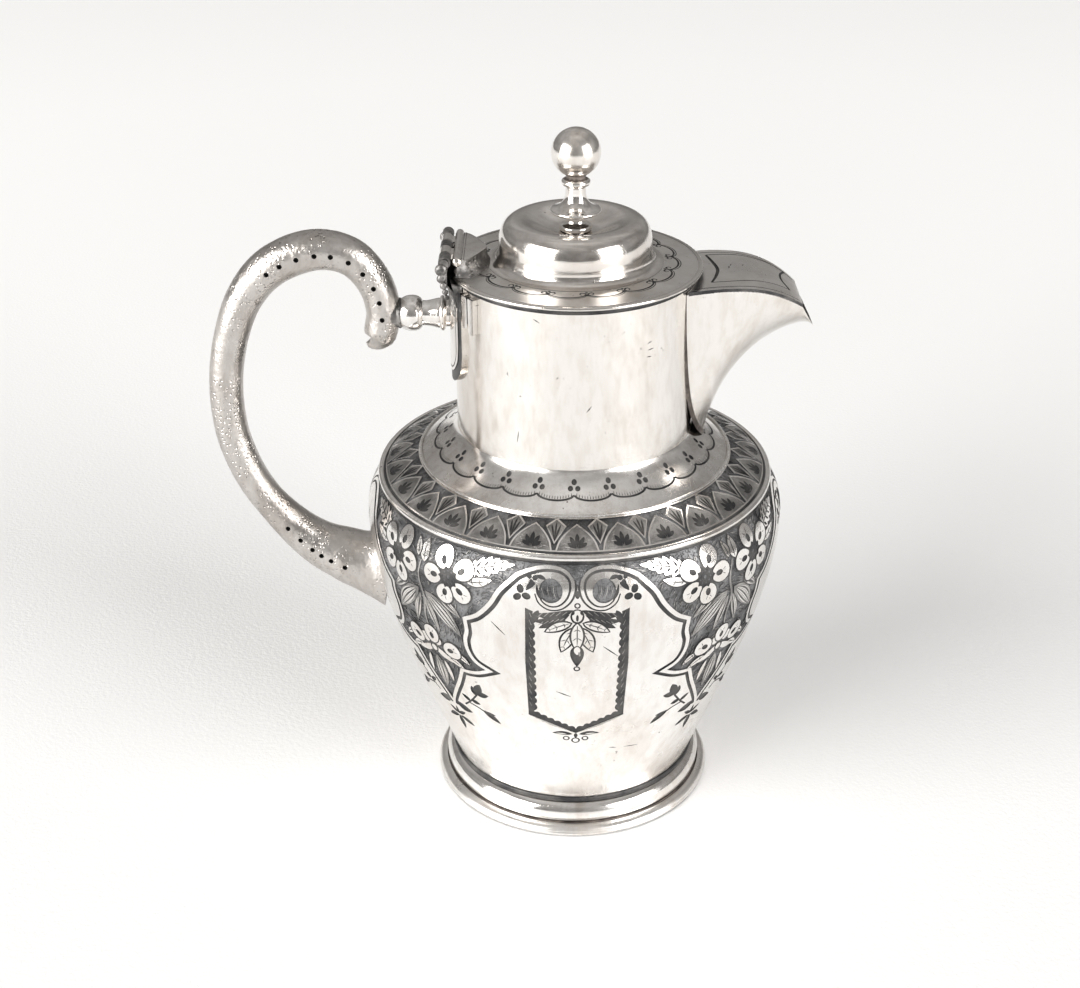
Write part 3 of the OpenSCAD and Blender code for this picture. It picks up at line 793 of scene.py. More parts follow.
def panel(az):
    """Flower panel: dark ground, its double edge, two flowers, leaves and a blossom."""
    out, lines = [], []
    for side in (1, -1):
        low, scroll = border(side, az)
        lines.append(join(*low, scroll))
    r_line, l_line = lines
    for edge in lines:
        width = np.interp(np.linspace(0, 1, len(edge)), [0, 0.66, 0.78, 1], [2.7, 2.7, 2.3, 1.7])
        out.append((stroke(edge, width, (1, 0.6)), LINE))
    cut = [int(len(join(*border(s, az)[0])) + 0.38 * len(SCROLL)) for s in (1, -1)]
    top_r = BODY.by_height(az + 45, [[-4.4, 80.2], [-3.4, OVER_SEAM]])
    top_l = BODY.by_height(az - 45, [[3.4, OVER_SEAM], [4.4, 80.2]])
    inside = np.vstack([r_line[: cut[0]], top_r, top_l, l_line[: cut[1]][::-1]])
    out.append((inside, GROUND))
    # marks of the matting tool
    lo, hi = inside.min(0), inside.max(0)
    spots = rng.uniform(lo, hi, (int((hi[0] - lo[0]) * (hi[1] - lo[1]) * 0.9), 2))
    for p in spots[within(spots, inside)]:
        a = 0.5 + 0.9 * math.sin(p[0] * 0.21 + az) + rng.normal() * 0.25
        d = np.array([math.cos(a), math.sin(a)]) * rng.uniform(0.35, 0.8)
        mark = stroke([p - d, p, p + d], rng.uniform(0.14, 0.26), (0.2, 0.2))
        out.append((mark, MATT if rng.random() < 0.5 else LINE))
    art = []
    # corner leaves, long leaves, flowers, the leaf between them
    corner = frond((12.6, 76.9), (22.4, 79.6), 3.5, 0.3) + leaf((12.7, 74.3), (18.6, 75.9), 2.0, -0.3, 3)
    long_leaf = plume((1.0, 68.0), (9.9, 58.8), 4.2, 0.6) + plume((4.4, 68.6), (10.6, 64.2), 2.2, 0.3)
    bloom = flower((8.1, 73.8), (113, 36, -38, -107, 182), 4.35, 4.5, 2.2)
    art += both(long_leaf) + both(corner) + both(bloom)
    art += leaf((1.1, 75.2), (0.8, 80.0), 2.5, 0.2, 2) + leaf((-0.9, 76.0), (-2.0, 79.6), 1.5, -0.2, 2)
    art += both(plume((0.6, 66.5), (3.6, 57.8), 2.0, 0.2))
    art += [(stroke(smooth([[0, 75.2], [-0.7, 71], [0.5, 66], [-0.2, 61], [0.3, 57.4]], 0.8), 0.6,
        (0.6, 0.7)), MATT)]
    # the blossom below
    art += both(leaf((4.0, 50.9), (8.2, 48.9), 1.6, 0.2, 2) + leaf((7.2, 53.0), (10.2, 50.8), 1.4, 0.2, 2,
        full=0.4))
    for a, reach, w in ((122, 3.6, 2.4), (58, 3.6, 2.4), (90, 4.6, 4.2), (157, 6.0, 4.4), (25, 6.0, 4.4)):
        art += petal((0.2, 51.2), a, reach, w, 0.32, 0 if w < 3 else 0.4)
    art += [(blade((0.2, 52.4), (-5.6, 49.4), 1.7, 0.3), BRIGHT),
        (blade((0.2, 52.4), (6.0, 49.6), 1.7, -0.3), BRIGHT)]
    art += [(egg((0.2, 51.8), 1.25, 1.25, n=14), LINE), (egg((0.2, 51.8), 0.85, 0.85, n=12), BRIGHT)]
    art += plume((0.1, 49.6), (-0.2, 39.4), 3.2, 0.3)
    art += both([(blade((2.4, 48.9), (3.3, 42.8), 1.2, 0.2), BRIGHT)])
    out += [(BODY.by_height(az, p), t) for p, t in art]
    for edge in lines:
        out.append((stroke(edge, 0.95, (1, 0.5)), BRIGHT))
    # sprigs on the plain silver under the panel
    sprig = [(blade((0.9, 35.3), (5.5, 33.7), 2.3, -0.3), LINE),
        (stroke(smooth([[4.2, 36.0], [6.6, 38.2], [9.2, 41.2]], 0.7), 0.45), LINE)]
    sprig += [(blade((6.6, 38.0), (4.4, 39.6), 1.3), LINE), (blade((6.7, 38.7), (9.2, 38.1), 1.4), LINE)]
    sprig += [(blade((8.9, 40.8), (8.6, 43.9), 1.7), LINE), (blade((9.2, 41.6), (11.1, 45.2), 2.1), LINE),
        (blade((9.0, 41.5), (12.5, 42.1), 1.8), LINE)]
    sprig += [(stroke(smooth([[5.6, 37.4], [8.4, 36.6], [10.4, 35.2]], 0.7), 0.45), LINE),
        (blade((9.2, 36.3), (12.9, 33.0), 1.8, 0.2), LINE), (blade((9.6, 36.0), (12.4, 35.6), 0.9), LINE)]
    sprig += [(blade((0.3, 30.0), (4.1, 28.3), 1.5, 0.2), LINE),
        (blade((0.2, 30.6), (2.6, 32.2), 1.1, 0.1), LINE)]
    out += [(BODY.by_height(az, p), t) for p, t in both(sprig)]
    out += [(BODY.by_height(az, p), LINE) for p in (blade((0, 30.2), (0, 25.4), 1.6),
        blade((0, 30.4), (0, 33.2), 0.9))]
    return out


def shield_frame(s):
    """One half of the shield's scalloped frame, on the side s."""
    teeth = []
    for k in range(13):
        z = 40.6 + k * 2.24
        for x, up in ((9.05, 0.1), (8.72, 0.5), (8.6, 1.1), (8.72, 1.7), (9.05, 2.14)):
            teeth.append([(x + 0.016 * (z - 41)) * s, z + up])
    art = [(np.vstack([[[11.1 * s, 70.9], [10.6 * s, 38.9]], teeth, [[9.4 * s, 70.2]]]), LINE)]
    drops = []
    for k in range(6):
        for part, lift in ((0.06, 0), (0.3, 0.34), (0.5, 0.42), (0.7, 0.34), (0.94, 0)):
            t = (k + part) / 6
            chord = np.array([9.3 * s, 40.2]) * (1 - t) + np.array([0, 35.1]) * t
            drops.append(chord + np.array([-0.45 * s, 0.9]) * lift)
    outer = [[10.7 * s, 38.9], [0, 33.4], [0, 35.0]]
    art.append((np.vstack([outer, drops[::-1], [[9.5 * s, 40.6]]]), LINE))
    for k in range(14):
        hatch = [[(9.9 - 0.01 * k) * s, 42 + 2.05 * k], [(10.4 - 0.01 * k) * s, 43.3 + 2.05 * k]]
        art.append((stroke(hatch, 0.16, (1, 0.5)), MATT))
    return art


def field_top(az, shield):
    """Hearts of the scrolls at the top of a plain field, its pendant, and the shield where there is one."""
    art = [([[-3.9, 80.2], [-2.0, 79.4], [-0.7, 77.6], [0, 76.4], [0.7, 77.6], [2.0, 79.4], [3.9, 80.2],
        [3.9, OVER_SEAM], [-3.9, OVER_SEAM]], GROUND)]
    heart = [(egg((5.6, 75.2), 2.5, 2.65, n=22), GROUND)]
    for k in range(6):
        p = np.array([3.9 + 0.62 * k, 73.5 + 0.1 * k])
        heart.append((stroke([p, p + [0.5, 1.5], p + [0.5, 3.0 - 0.2 * k]], 0.2, (0.3, 0.3)),
            MATT if k % 2 else LINE))
    heart += [(blade((7.4, 73.0), (8.6, 76.6), 0.7, -0.3), LINE),
        (blade((6.6, 77.6), (9.0, 78.0), 0.8, 0.2), LINE)]
    art += both(heart)
    art += [(egg((0, 74.6), 0.5, 0.9, n=12), LINE)]
    side = [(blade((8.8, 76.9), (10.9, 75.0), 1.1, 0.2), LINE)] + trefoil((11.9, 74.1), 1.15,
        200) + trefoil((9.6, 77.5), 0.75, 40)
    art += both(side)
    leaves = [(blade((0.8, 71.0), (9.5, 69.6), 2.0, -0.9), LINE),
        (blade((1.6, 69.8), (9.6, 67.8), 1.9, -0.7), LINE),
        (blade((2.4, 68.6), (8.2, 66.0), 1.9, 0.2), LINE), (blade((8.2, 70.6), (9.9, 66.6), 1.6), LINE)]
    for k in range(5):
        leaves.append((stroke([[2.2 + k * 1.3, 70.5 - 0.14 * k], [3.2 + k * 1.3, 69.6 - 0.2 * k]], 0.22,
            (1, 0.4)), MATT))
        leaves.append((stroke([[2.8 + k * 1.1, 68.9 - 0.3 * k], [3.9 + k * 1.1, 68.0 - 0.3 * k]], 0.2,
            (1, 0.4)), MATT))
    art += both(leaves)
    for tip, root, w in (((6.7, 65.2), (1.4, 67.6), 1.9), ((3.3, 60.0), (0.6, 66.4), 2.5)):
        art += both(leaf(root, tip, w, 0.25, 3, 0.45))
    art += leaf((0, 67.6), (0, 60.2), 2.5, 0, 3, 0.45)
    art += [(blade((0, 61.6), (0, 55.5), 3.0, full=0.35), LINE), (blade((0, 61.4), (0, 59.0), 1.4), BRIGHT),
        (egg((0.5, 59.2), 0.25, 0.7, 10, 8), MATT)]
    art += [(egg((0, 69.4), 1.5, 1.9, n=16), LINE), (egg((0, 69.5), 1.1, 1.5, n=14), BRIGHT),
        (egg((0, 69.0), 0.3, 0.9, n=8), LINE)]
    art += both([(egg((0.9, 70.2), 0.3, 0.5, 30, n=8), LINE)])
    art += ring_dot((0, 54.9), 0.75) + ring_dot((0, 72.1), 0.7)
    if shield:
        art += shield_frame(1) + shield_frame(-1)
        art += both([(blade((0.7, 33.0), (5.3, 33.3), 1.3, 0.25), LINE),
            (blade((2.0, 33.0), (4.6, 33.2), 0.35, 0.1), BRIGHT)] + ring_dot((2.1, 31.5), 0.8, 0.32))
        art += ring_dot((0, 30.8), 1.0, 0.36) + [(blade((0, 33.4), (0, 31.6), 0.9), LINE)]
    return [(BODY.by_height(az, p), t) for p, t in art]


def body_shapes():
    out = [(box(-200, BODY.length - 0.45, 200, BODY.length + 0.9, 2.0), GROUND)]
    for az in (-135, -45, 45, 135):
        out += panel(az)
    for az in (-90, 0, 90):
        out += field_top(az, az != 0)
    for x, z, dx, dz in ((-18.8, 65.9, 3.2, -3.1), (5.6, 61.2, 3.3, -3.2), (7.7, 27.3, 1.7, -0.4),
            (11.2, 26.7, 3.4, -0.4), (-4.4, 47.6, 3.2, -1.6)):
        scratch = [[x, z], [x + dx / 2, z + dz / 2], [x + dx, z + dz]]
        out.append((BODY.by_height(-90, stroke(scratch, 0.3, (0.3, 0.3))), LINE))
    return out


def make_body():
    b = Builder()
    half = BODY.round / 2
    relief(b, BODY, body_shapes(), (-half, half), (0, BODY.length), 1.7, wrap=True, back=WALL)
    # the body's bottom edge at the foot (material 2) is painted dark as shade in the join
    lathe(b, [[29.35, 8.6], [29.6, 8.3], [29.6, 7.6], [0, 7.6]][::-1], 2)
    lathe(b, [[28.45, 8.55], [26, 8.5], [0, 8.5]], 4)
    lathe(b, [[44.8, 80.4], [44.0, 81.4], [43.9, 80.2]], 0)
    b.piece("engraved_body", ENGRAVED, "jug", ["body_shell"])


# ---------------------------------------------------------------- shoulder

NECK_R, NECK_LOW, NECK_TOP = 26.5, 92.9, 128.95
band_curve = cubic([[43.2, 82.4], [41.0, 84.1], [38.0, 85.6], [35.2, 86.2]], 80)
slope_curve = cubic([[34.7, 86.55], [32.2, 88.4], [27.6, 90.6], [NECK_R, NECK_LOW]], 120)
BAND = Turned(band_curve, 40.0, 0.4)
SLOPE = Turned(slope_curve, 31.0, 0.6)
ARCHES = 27
SCALLOPS = 24


def band_shapes():
    out = [(box(-150, 0.35, 150, BAND.length - 0.4, 1.5), GROUND)]
    pitch = TAU / ARCHES * BAND.ref
    top = BAND.length
    for p in rng.uniform([-BAND.round / 2, 0.5], [BAND.round / 2, top - 0.5], (1300, 2)):
        out.append((stroke([p, p + [rng.normal() * 0.15, 0.8]], 0.2, (0.2, 0.2)), MATT))
    start = math.radians(-90) * BAND.ref
    for x0 in np.arange(-7, ARCHES - 5) * pitch + start:
        for w, high, tone in ((0.465, 0.80, BRIGHT), (0.427, 0.745, MATT)):
            corners = ((w, 0), (w * 0.86, 0.34), (w * 0.52, 0.68), (0, 1))
            side = smooth([[x0 - x * pitch, (0.03 + (high - 0.03) * h) * top] for x, h in corners], 0.6)
            out.append((np.vstack([side, (side[:-1] * [-1, 1] + [2 * x0, 0])[::-1]]), tone))
        for a, reach in ((0, 0.42), (27, 0.36), (-27, 0.36), (56, 0.27), (-56, 0.27)):
            t = math.radians(a)
            end = (x0 + math.sin(t) * reach * top, (0.1 + math.cos(t) * reach) * top)
            out.append((blade((x0 + math.sin(t) * 0.3, 0.1 * top), end, 0.95, 0, 6, 0.6), LINE))
        x1 = x0 + pitch / 2
        corners = ((0, 0.99), (-0.25, 0.72), (-0.1, 0.42), (0, 0.2), (0.1, 0.42), (0.25, 0.72))
        kite = np.array([[x1 + x * pitch, h * top] for x, h in corners])
        mid = kite.mean(0)
        out += [(kite, BRIGHT), (mid + (kite - mid) * 0.83, MATT)]
        for d in (-1, 0, 1):
            end = (x1 + 0.11 * d * pitch, (0.86 - 0.08 * abs(d)) * top)
            out.append((blade((x1, 0.28 * top), end, 0.5, 0, 5, 0.6), LINE))
    return out


def slope_shapes():
    out = []
    half = math.radians(180 / SCALLOPS)
    t = np.linspace(-1, 1, 15)
    r = 30.3 + 1.5 * np.sqrt(1 - (0.97 * t) ** 2)
    for k in range(-6, SCALLOPS - 4):
        az = -91 + 360 / SCALLOPS * k
        mid = az + 180 / SCALLOPS
        out.append((stroke(SLOPE.by_radius(mid, np.stack([t * half * r, r], 1)), 0.5), LINE))
        for j in range(1, 14):
            ra, rb = r[j] - 0.3, r[j] - 0.9
            p = SLOPE.by_radius(mid, [[t[j] * half * ra, ra], [t[j] * half * rb, rb]])
            out.append((stroke(p, 0.17, (1, 0.6)), LINE))
        for x, rr in ((-0.78, 29.3), (0.78, 29.3), (0, 28.1)):
            out.append((SLOPE.by_radius(az, egg((x, rr), 0.58, 0.55, n=12)), LINE))
    return out


def make_shoulder():
    """Engraved band, small step and slope, with one smooth inner face."""
    b = Builder()
    half = BAND.round / 2
    relief(b, BAND, band_shapes(), (-half, half), (0, BAND.length), 1.6, wrap=True)
    lathe(b, join([[35.2, 86.2]], arc((35.0, 86.5), 0.32, -30, 120, 6), [[34.7, 86.55]]), 0)
    half = SLOPE.round / 2
    relief(b, SLOPE, slope_shapes(), (-half, half), (0, SLOPE.length), 1.5, wrap=True)
    lathe(b, join([[44.0, 81.4], [43.2, 82.4]]), 0)
    inner_slope = (slope_curve - [0, 1.1])[::-1][10:]
    inner_band = (band_curve - [0.1, 1.05])[::-1]
    foot = [[42.3, 81.4], [44.0, 81.4]]
    lathe(b, join([[NECK_R, NECK_LOW], [NECK_R - WALL, NECK_LOW]], inner_slope, [[34.4, 85.2]], inner_band,
        foot), 4)
    b.piece("engraved_shoulder", ENGRAVED, "jug", ["shoulder_shell"])


def make_shoulder_wire():
    """Half round wire over the seam, on the chord between the two sheets."""
    b = Builder()
    chord = band_curve[0] - body_turn[-1]
    mid = (band_curve[0] + body_turn[-1]) / 2
    out = np.array([chord[1], -chord[0]]) / np.linalg.norm(chord)
    a = np.linspace(math.pi, 0, 25)[:, None]
    wire = mid + chord * 0.31 * np.cos(a) + out * (0.12 + 0.8 * np.sin(a))
    lathe(b, wire, 0, 256)
    for way in (-1, 1):
        solder = [wire[0 if way < 0 else -1] + out * 0.02, mid + way * chord * 0.46 + out * 0.14,
            mid + way * chord * 0.5]
        lathe(b, solder[::way], 1, 256)
    b.piece("shoulder_wire", ["turned", "line"], "jug", ["shoulder_bead"])


# ---------------------------------------------------------------- neck


def make_neck():
    """Straight neck with a painted shadow line under its rim, a few scratches and the way into the spout."""
    b = Builder()
    neck = Turned(spaced([[NECK_R, NECK_LOW], [NECK_R, NECK_TOP]], 1.0), NECK_R, 0.8)
    half = neck.round / 2
    window_half = math.asin(8 / NECK_R) * NECK_R
    window = box(-window_half, 104 - NECK_LOW, window_half, 123 - NECK_LOW, 1.5)
    # the band just under the rim is painted dark as the shadow of the lid's flange edge
    marks = [(box(-half - 2, neck.length - 0.55, half + 2, neck.length + 1, 1.2), LINE), (window, HOLE)]
    for x, z, l, turn in ((-8.6, 126.6, 1.6, -0.5), (-13.0, 99.5, 2.6, 1.45), (2.6, 107.2, 1.8, 0.9),
            (16.3, 120.4, 1.2, 0.3), (16.6, 118.8, 1.5, 0.1), (16.2, 117.2, 1.3, -0.1)):
        p = (math.radians(-90) * NECK_R + x, z - NECK_LOW)
        marks.append((stroke([polar(p, k * l / 2, turn) for k in (-1, 0, 1)], 0.22, (0.3, 0.3)), LINE))
    relief(b, neck, marks, (-half, half), (0, neck.length), 1.8, wrap=True, back=WALL)
    # the rounded top of the rim is painted dark (material 2) as shade under the lid
    rim = [arc((r, NECK_TOP), 0.25, a, a + 90, 4) for r, a in ((NECK_R - 0.25, 0), (NECK_R - 0.65, 90))]
    lathe(b, join([[NECK_R, NECK_TOP]], *rim), 2)
    b.piece("neck_sheet", ["plain", "matt", "line", "ground", "inside"], "jug", ["neck_tube"])


# ---------------------------------------------------------------- spout

# Start of the spout's sheet, its tip, the foot of its keel, the end of its cover and its half width
ROOT_X, TIP, LOW, END_X, HALF_W = 23.2, (52.3, 116.9), (29.4, 89.6), 48.9, 12.5
FLAT_TO = 32.5


def spout_top(x):
    """Height of the cover at a distance x from the jug's axis."""
    x = np.asarray(x, float)
    y = 128.7 - 0.0053 * np.maximum(0, x - FLAT_TO) ** 2.48 - 0.01 * np.maximum(0, FLAT_TO - x) ** 2
    end = 128.7 - 0.0053 * (END_X - FLAT_TO) ** 2.48
    return np.where(x <= END_X, y, end + (TIP[1] - end) * (x - END_X) / (TIP[0] - END_X))


def spout_half(x):
    """Half width of the spout there."""
    part = (np.asarray(x, float) - ROOT_X) / (TIP[0] + 0.25 - ROOT_X)
    return HALF_W * np.maximum(0, 1 - part**2.4) ** (1 / 2.4)


def spout_curve(s, t, m):
    """One U-shaped section, s of the way to the tip and t inside the outer face, in m parts."""
    x = ROOT_X + (TIP[0] - ROOT_X) * s
    q = math.pi / 2 * s
    half = max(0.05, float(spout_half(x)) - t)
    top = float(spout_top(x)) - 0.8 + (0 if t else 0.02)
    keel_z = LOW[1] + (TIP[1] - LOW[1]) * math.sin(q) ** (2 / 1.78)
    low = min(keel_z + t * 1.15, top - 0.06)
    power = 2.3 - 0.8 * min(1, s * 1.6)
    keel_x = TIP[0] - (TIP[0] - LOW[0]) * math.cos(q) ** (2 / 1.78) - t * math.cos(q)
    a = np.linspace(-math.pi / 2, math.pi / 2, m + 1)
    y = half * np.sign(a) * np.abs(np.sin(a)) ** (2 / power)
    drop = np.abs(np.cos(a)) ** (2 / power)
    root = np.sqrt(np.maximum(0, 26.2**2 - y * y)) + (keel_x - 26.2) * drop**6
    far = x + (keel_x - x) * drop
    blend = min(1, s * 5)
    return np.stack([root * (1 - blend) + far * blend, y, top + (low - top) * drop], 1)


def make_spout():
    b = Builder()
    s = 0.992 * np.linspace(0, 1, 91)
    outer = [spout_curve(k, 0, 72) for k in s]
    inner = [spout_curve(k, 0.8, 72) for k in s]
    # the first four rows by the neck are painted dark as shade in the corner with the neck
    grid_skin(b, np.array(outer)[:, ::-1], [2] * 4 + [0] * 86)
    # the inside is painted near black as shade
    grid_skin(b, np.array(inner), 3)
    for j, turn in ((0, 1), (-1, -1)):
        rim = np.stack([[r[j] for r in outer], [r[j] for r in inner]], 1)
        grid_skin(b, rim[:, ::turn], 0)
    grid_skin(b, np.stack([outer[-1][::-1], inner[-1][::-1]]), 0)
    grid_skin(b, np.stack([inner[0][::-1], outer[0][::-1]]), 1)
    b.piece("spout_sheet", ["plain", "inside", "crease_shade_and_tarnish", "cavity_shade"], "jug", ["spout_shell"])


def make_spout_plate():
    """Cover of the spout, cut round the neck and graved with a frame."""
    b = Builder()
    xs = np.linspace(ROOT_X, END_X, 41)
    edge = np.stack([xs, spout_half(xs)], 1)
    outline = np.vstack([edge, (edge * [1, -1])[::-1]])
    t = np.radians(np.linspace(-34, 34, 50))
    bite = np.vstack([(NECK_R + 0.02) * np.stack([np.cos(t), np.sin(t)], 1), [[10, 18], [10, -18]]])

    def cover(u, v, d):
        lift = 0.1 * np.exp(-(((np.abs(v) - spout_half(np.minimum(u, 50)) + 0.5) / 0.5) ** 2))
        return np.stack([u, v, spout_top(u) - d + lift - 0.1], 1)

    left = smooth([[29.0, -7.9], [30.2, -4.2], [30.9, 0], [30.2, 4.6], [29.1, 9.2]])
    upper = smooth([[29.1, 9.2], [33, 9.4], [37, 9.2], [41.2, 8.6], [44.0, 8.3], [46.4, 7.6]])
    right = smooth([[46.4, 7.6], [45.2, 4.4], [45.0, 0.6], [46.4, -3.4]])
    lower = smooth([[29.0, -7.9], [33, -7.5], [37.0, -6.5], [41.0, -5.3], [44, -4.3], [46.4, -3.4]])
    xs = np.linspace(25.2, 48.2, 40)
    rim_line = np.stack([xs, -spout_half(xs) + 1.5], 1)
    shapes = [(box(20, -16, 52, 16, 2), HOLE), (closed(outline, 0.8), BRIGHT), (bite, HOLE)]
    shapes.append((stroke(left, 0.75, (0.7, 0.7)), LINE))
    for line, width in ((upper, 0.34), (right, 0.5), (lower, 0.34), (rim_line, 0.3),
            (rim_line * [1, -1], 0.26)):
        shapes.append((stroke(line, width), LINE))
    for x, y, l in ((33.4, 1.2, 1.6), (33.9, 2.6, 0.9), (36.6, 3.0, 0.8)):
        shapes.append((stroke([[x, y - l / 2], [x + 0.1, y], [x + 0.2, y + l / 2]], 0.25, (0.4, 0.4)),
            LINE))
    # the cover's cut edge is painted dark and its underside near black, as shade
    relief(b, cover, shapes, (22, 49.5), (-13.5, 13.5), 1.0, back=0.8, back_mat=4, rim_mat=2)
    b.piece("spout_plate", ["worn", "matt", "line", "ground", "cavity_shade"], "jug", ["spout_cover"])


# ---------------------------------------------------------------- lid

LID_Z = 129.5
CROWN_Z = LID_Z + 8.1
CUT_X = -26.1
crown = cubic([[3.8, CROWN_Z], [7, CROWN_Z + 0.1], [9.4, LID_Z + 10.9], [12.2, LID_Z + 10.9]], 24)
drum = cubic([[12.2, LID_Z + 10.9], [16, LID_Z + 10.9], [16.7, LID_Z + 8], [16.7, LID_Z + 4.2]], 40)
flare = cubic([[16.7, LID_Z + 4.2], [16.7, LID_Z + 2.6], [17.2, LID_Z + 1.5], [19.2, LID_Z + 1.35]], 24)
FLANGE = Turned(spaced([[26.6, LID_Z + 0.9], [19.2, LID_Z + 1.35]], 0.5), 24.0, 0.4)
LID_SCALLOPS = 16


def clamp_cut(place):
    """The same sheet, with its flange cut straight behind the hinge."""
    def inner(u, v, d):
        p = place(u, v, d)
        p[:, 0] = np.where(p[:, 2] < LID_Z + 2.5, np.maximum(p[:, 0], CUT_X), p[:, 0])
        return p
    return inner


def lid_shapes():
    out = []
    pitch = 360 / LID_SCALLOPS
    t = np.linspace(-0.98, 0.98, 17)
    r = 20.4 + 1.9 * np.sqrt(1 - t**2)
    for k in range(-5, LID_SCALLOPS - 3):
        az = -84.3 + pitch * k
        for width, rr in ((0.42, r), (0.2, r + 0.55)):
            loop = np.stack([t * math.radians(pitch / 2) * rr, rr], 1)
            out.append((stroke(FLANGE.by_radius(az + pitch / 2, loop), width), LINE))
        for s in (-1, 1):
            curl = [(0.15, 21.6), (0.2, 20.7), (0.75, 20.0), (1.35, 20.2), (1.4, 20.8), (1.0, 21.0)]
            curl = np.array(curl) * [s, 1]
            out.append((stroke(FLANGE.by_radius(az, smooth(curl, 0.3)), 0.38, (1, 0.5)), LINE))
        out.append((FLANGE.by_radius(az, egg((0, 19.9), 0.34, 0.34, n=10)), LINE))
    return out


def make_lid():
    b = Builder()
    half = FLANGE.round / 2
    relief(b, clamp_cut(FLANGE), lid_shapes(), (-half, half), (0, FLANGE.length), 1.1, wrap=True)
    lathe(b, join(flare[::-1], drum[::-1], crown[::-1], [[1.3, CROWN_Z]]), 5, 256)
    edge = (27.25, LID_Z + 0.45)
    # the flange's underside and lower edge (material 2) are painted dark as the shadow under the lid's edge
    lathe(b, join([[20, LID_Z], [edge[0], LID_Z]], arc(edge, 0.45, -90, -25, 5)), 2, 256)
    lathe(b, join(arc(edge, 0.45, -25, 70, 8), [[26.6, LID_Z + 0.9]]), 5, 256)
    under = (drum - [0.7, 0.7])[10:], (flare - [0.7, 0.7])[:-4]
    lathe(b, join([[1.3, CROWN_Z - 0.8]], crown - [0, 0.8], *under, [[20, LID_Z]]), 4)
    lathe(b, [[1.3, CROWN_Z], [1.3, CROWN_Z - 0.8]], 0, 48)
    for co in b.co[1:]:
        low = co[:, 2] < LID_Z + 2.5
        co[:, 0] = np.where(low, np.maximum(co[:, 0], CUT_X), co[:, 0])
    b.piece("lid_dome", ["worn", "matt", "line", "ground", "inside", "mirror"], "lid", ["lid_shell"])


# ---------------------------------------------------------------- hinge and its fittings

HINGE = (-27.9, 133.7)


def make_tongue():
    """Tongue of the lid: flat top, hollow flanks and a rounded ridge beside the knuckles."""
    b = Builder()
    top_z, base_z = HINGE[1] + 0.28, LID_Z + 0.95
    side = smooth([[-25.2, -9.5], [-23.2, -8.3], [-21.4, -5.6], [-20.1, -2.9], [-19.4, -1.5]], 0.35)
    tip = smooth([[-19.4, -1.5], [-19.15, 0], [-19.4, 1.5]], 0.35)
    top = join(side, tip, side[::-1] * [1, -1])
    side2 = smooth([[-25.6, -10.0], [-23.0, -10.2], [-20.6, -8.0], [-18.9, -4.6], [-18.2, -2.0]], 0.35)
    tip2 = smooth([[-18.2, -2.0], [-17.9, 0], [-18.2, 2.0]], 0.35)
    low = spaced(join(side2, tip2, side2[::-1] * [1, -1]), 0.1)
    low = low[np.linspace(0, len(low) - 1, len(top)).round().astype(int)]
    rows = []
    for k in np.linspace(0, 1, 12):
        f, g = k**1.9, k**0.62
        xy = top * (1 - f) + low * f
        rows.append(np.column_stack([xy, np.full(len(xy), top_z * (1 - g) + base_z * g)]))
    # the flanks are painted dark as shade, against the bright top plate
    grid_skin(b, np.array(rows)[::-1], 2)
    inner = np.column_stack([top, np.full(len(top), top_z)])
    centre = np.column_stack([np.clip(top[:, 0] - 0.4, -25.2, -19.8), top[:, 1] * 0.86,
        np.full(len(top), top_z + 0.22)])
    flat = np.column_stack([np.full(len(top), -24.9), top[:, 1] * 0.5, np.full(len(top), top_z + 0.22)])
    grid_skin(b, np.array([inner, centre, flat]), 0)
    rod = []
    a = np.linspace(0, TAU, 24, endpoint=False)
    for y in np.concatenate([[-9.75, -9.6], np.linspace(-9.4, 9.4, 30), [9.6, 9.75]]):
        r = np.interp(abs(y), [9.4, 9.6, 9.75], [1.0, 0.8, 0.1])
        rod.append(np.column_stack([-25.3 + r * np.cos(a), np.full(24, y),
            HINGE[1] - 0.05 - r * np.sin(a)]))
    grid_skin(b, np.array(rod)[:, ::-1], 1, round_up=True, caps=True)
    for x in (-24.35, -23.9):
        strip = [[[x, y, top_z + 0.235], [x + 0.16, y, top_z + 0.235]] for y in (8.4, -8.4)]
        grid_skin(b, strip, 2)
    b.piece("lid_tongue", ["chased", "turned", "dark"], "lid", ["lid_leaf"])


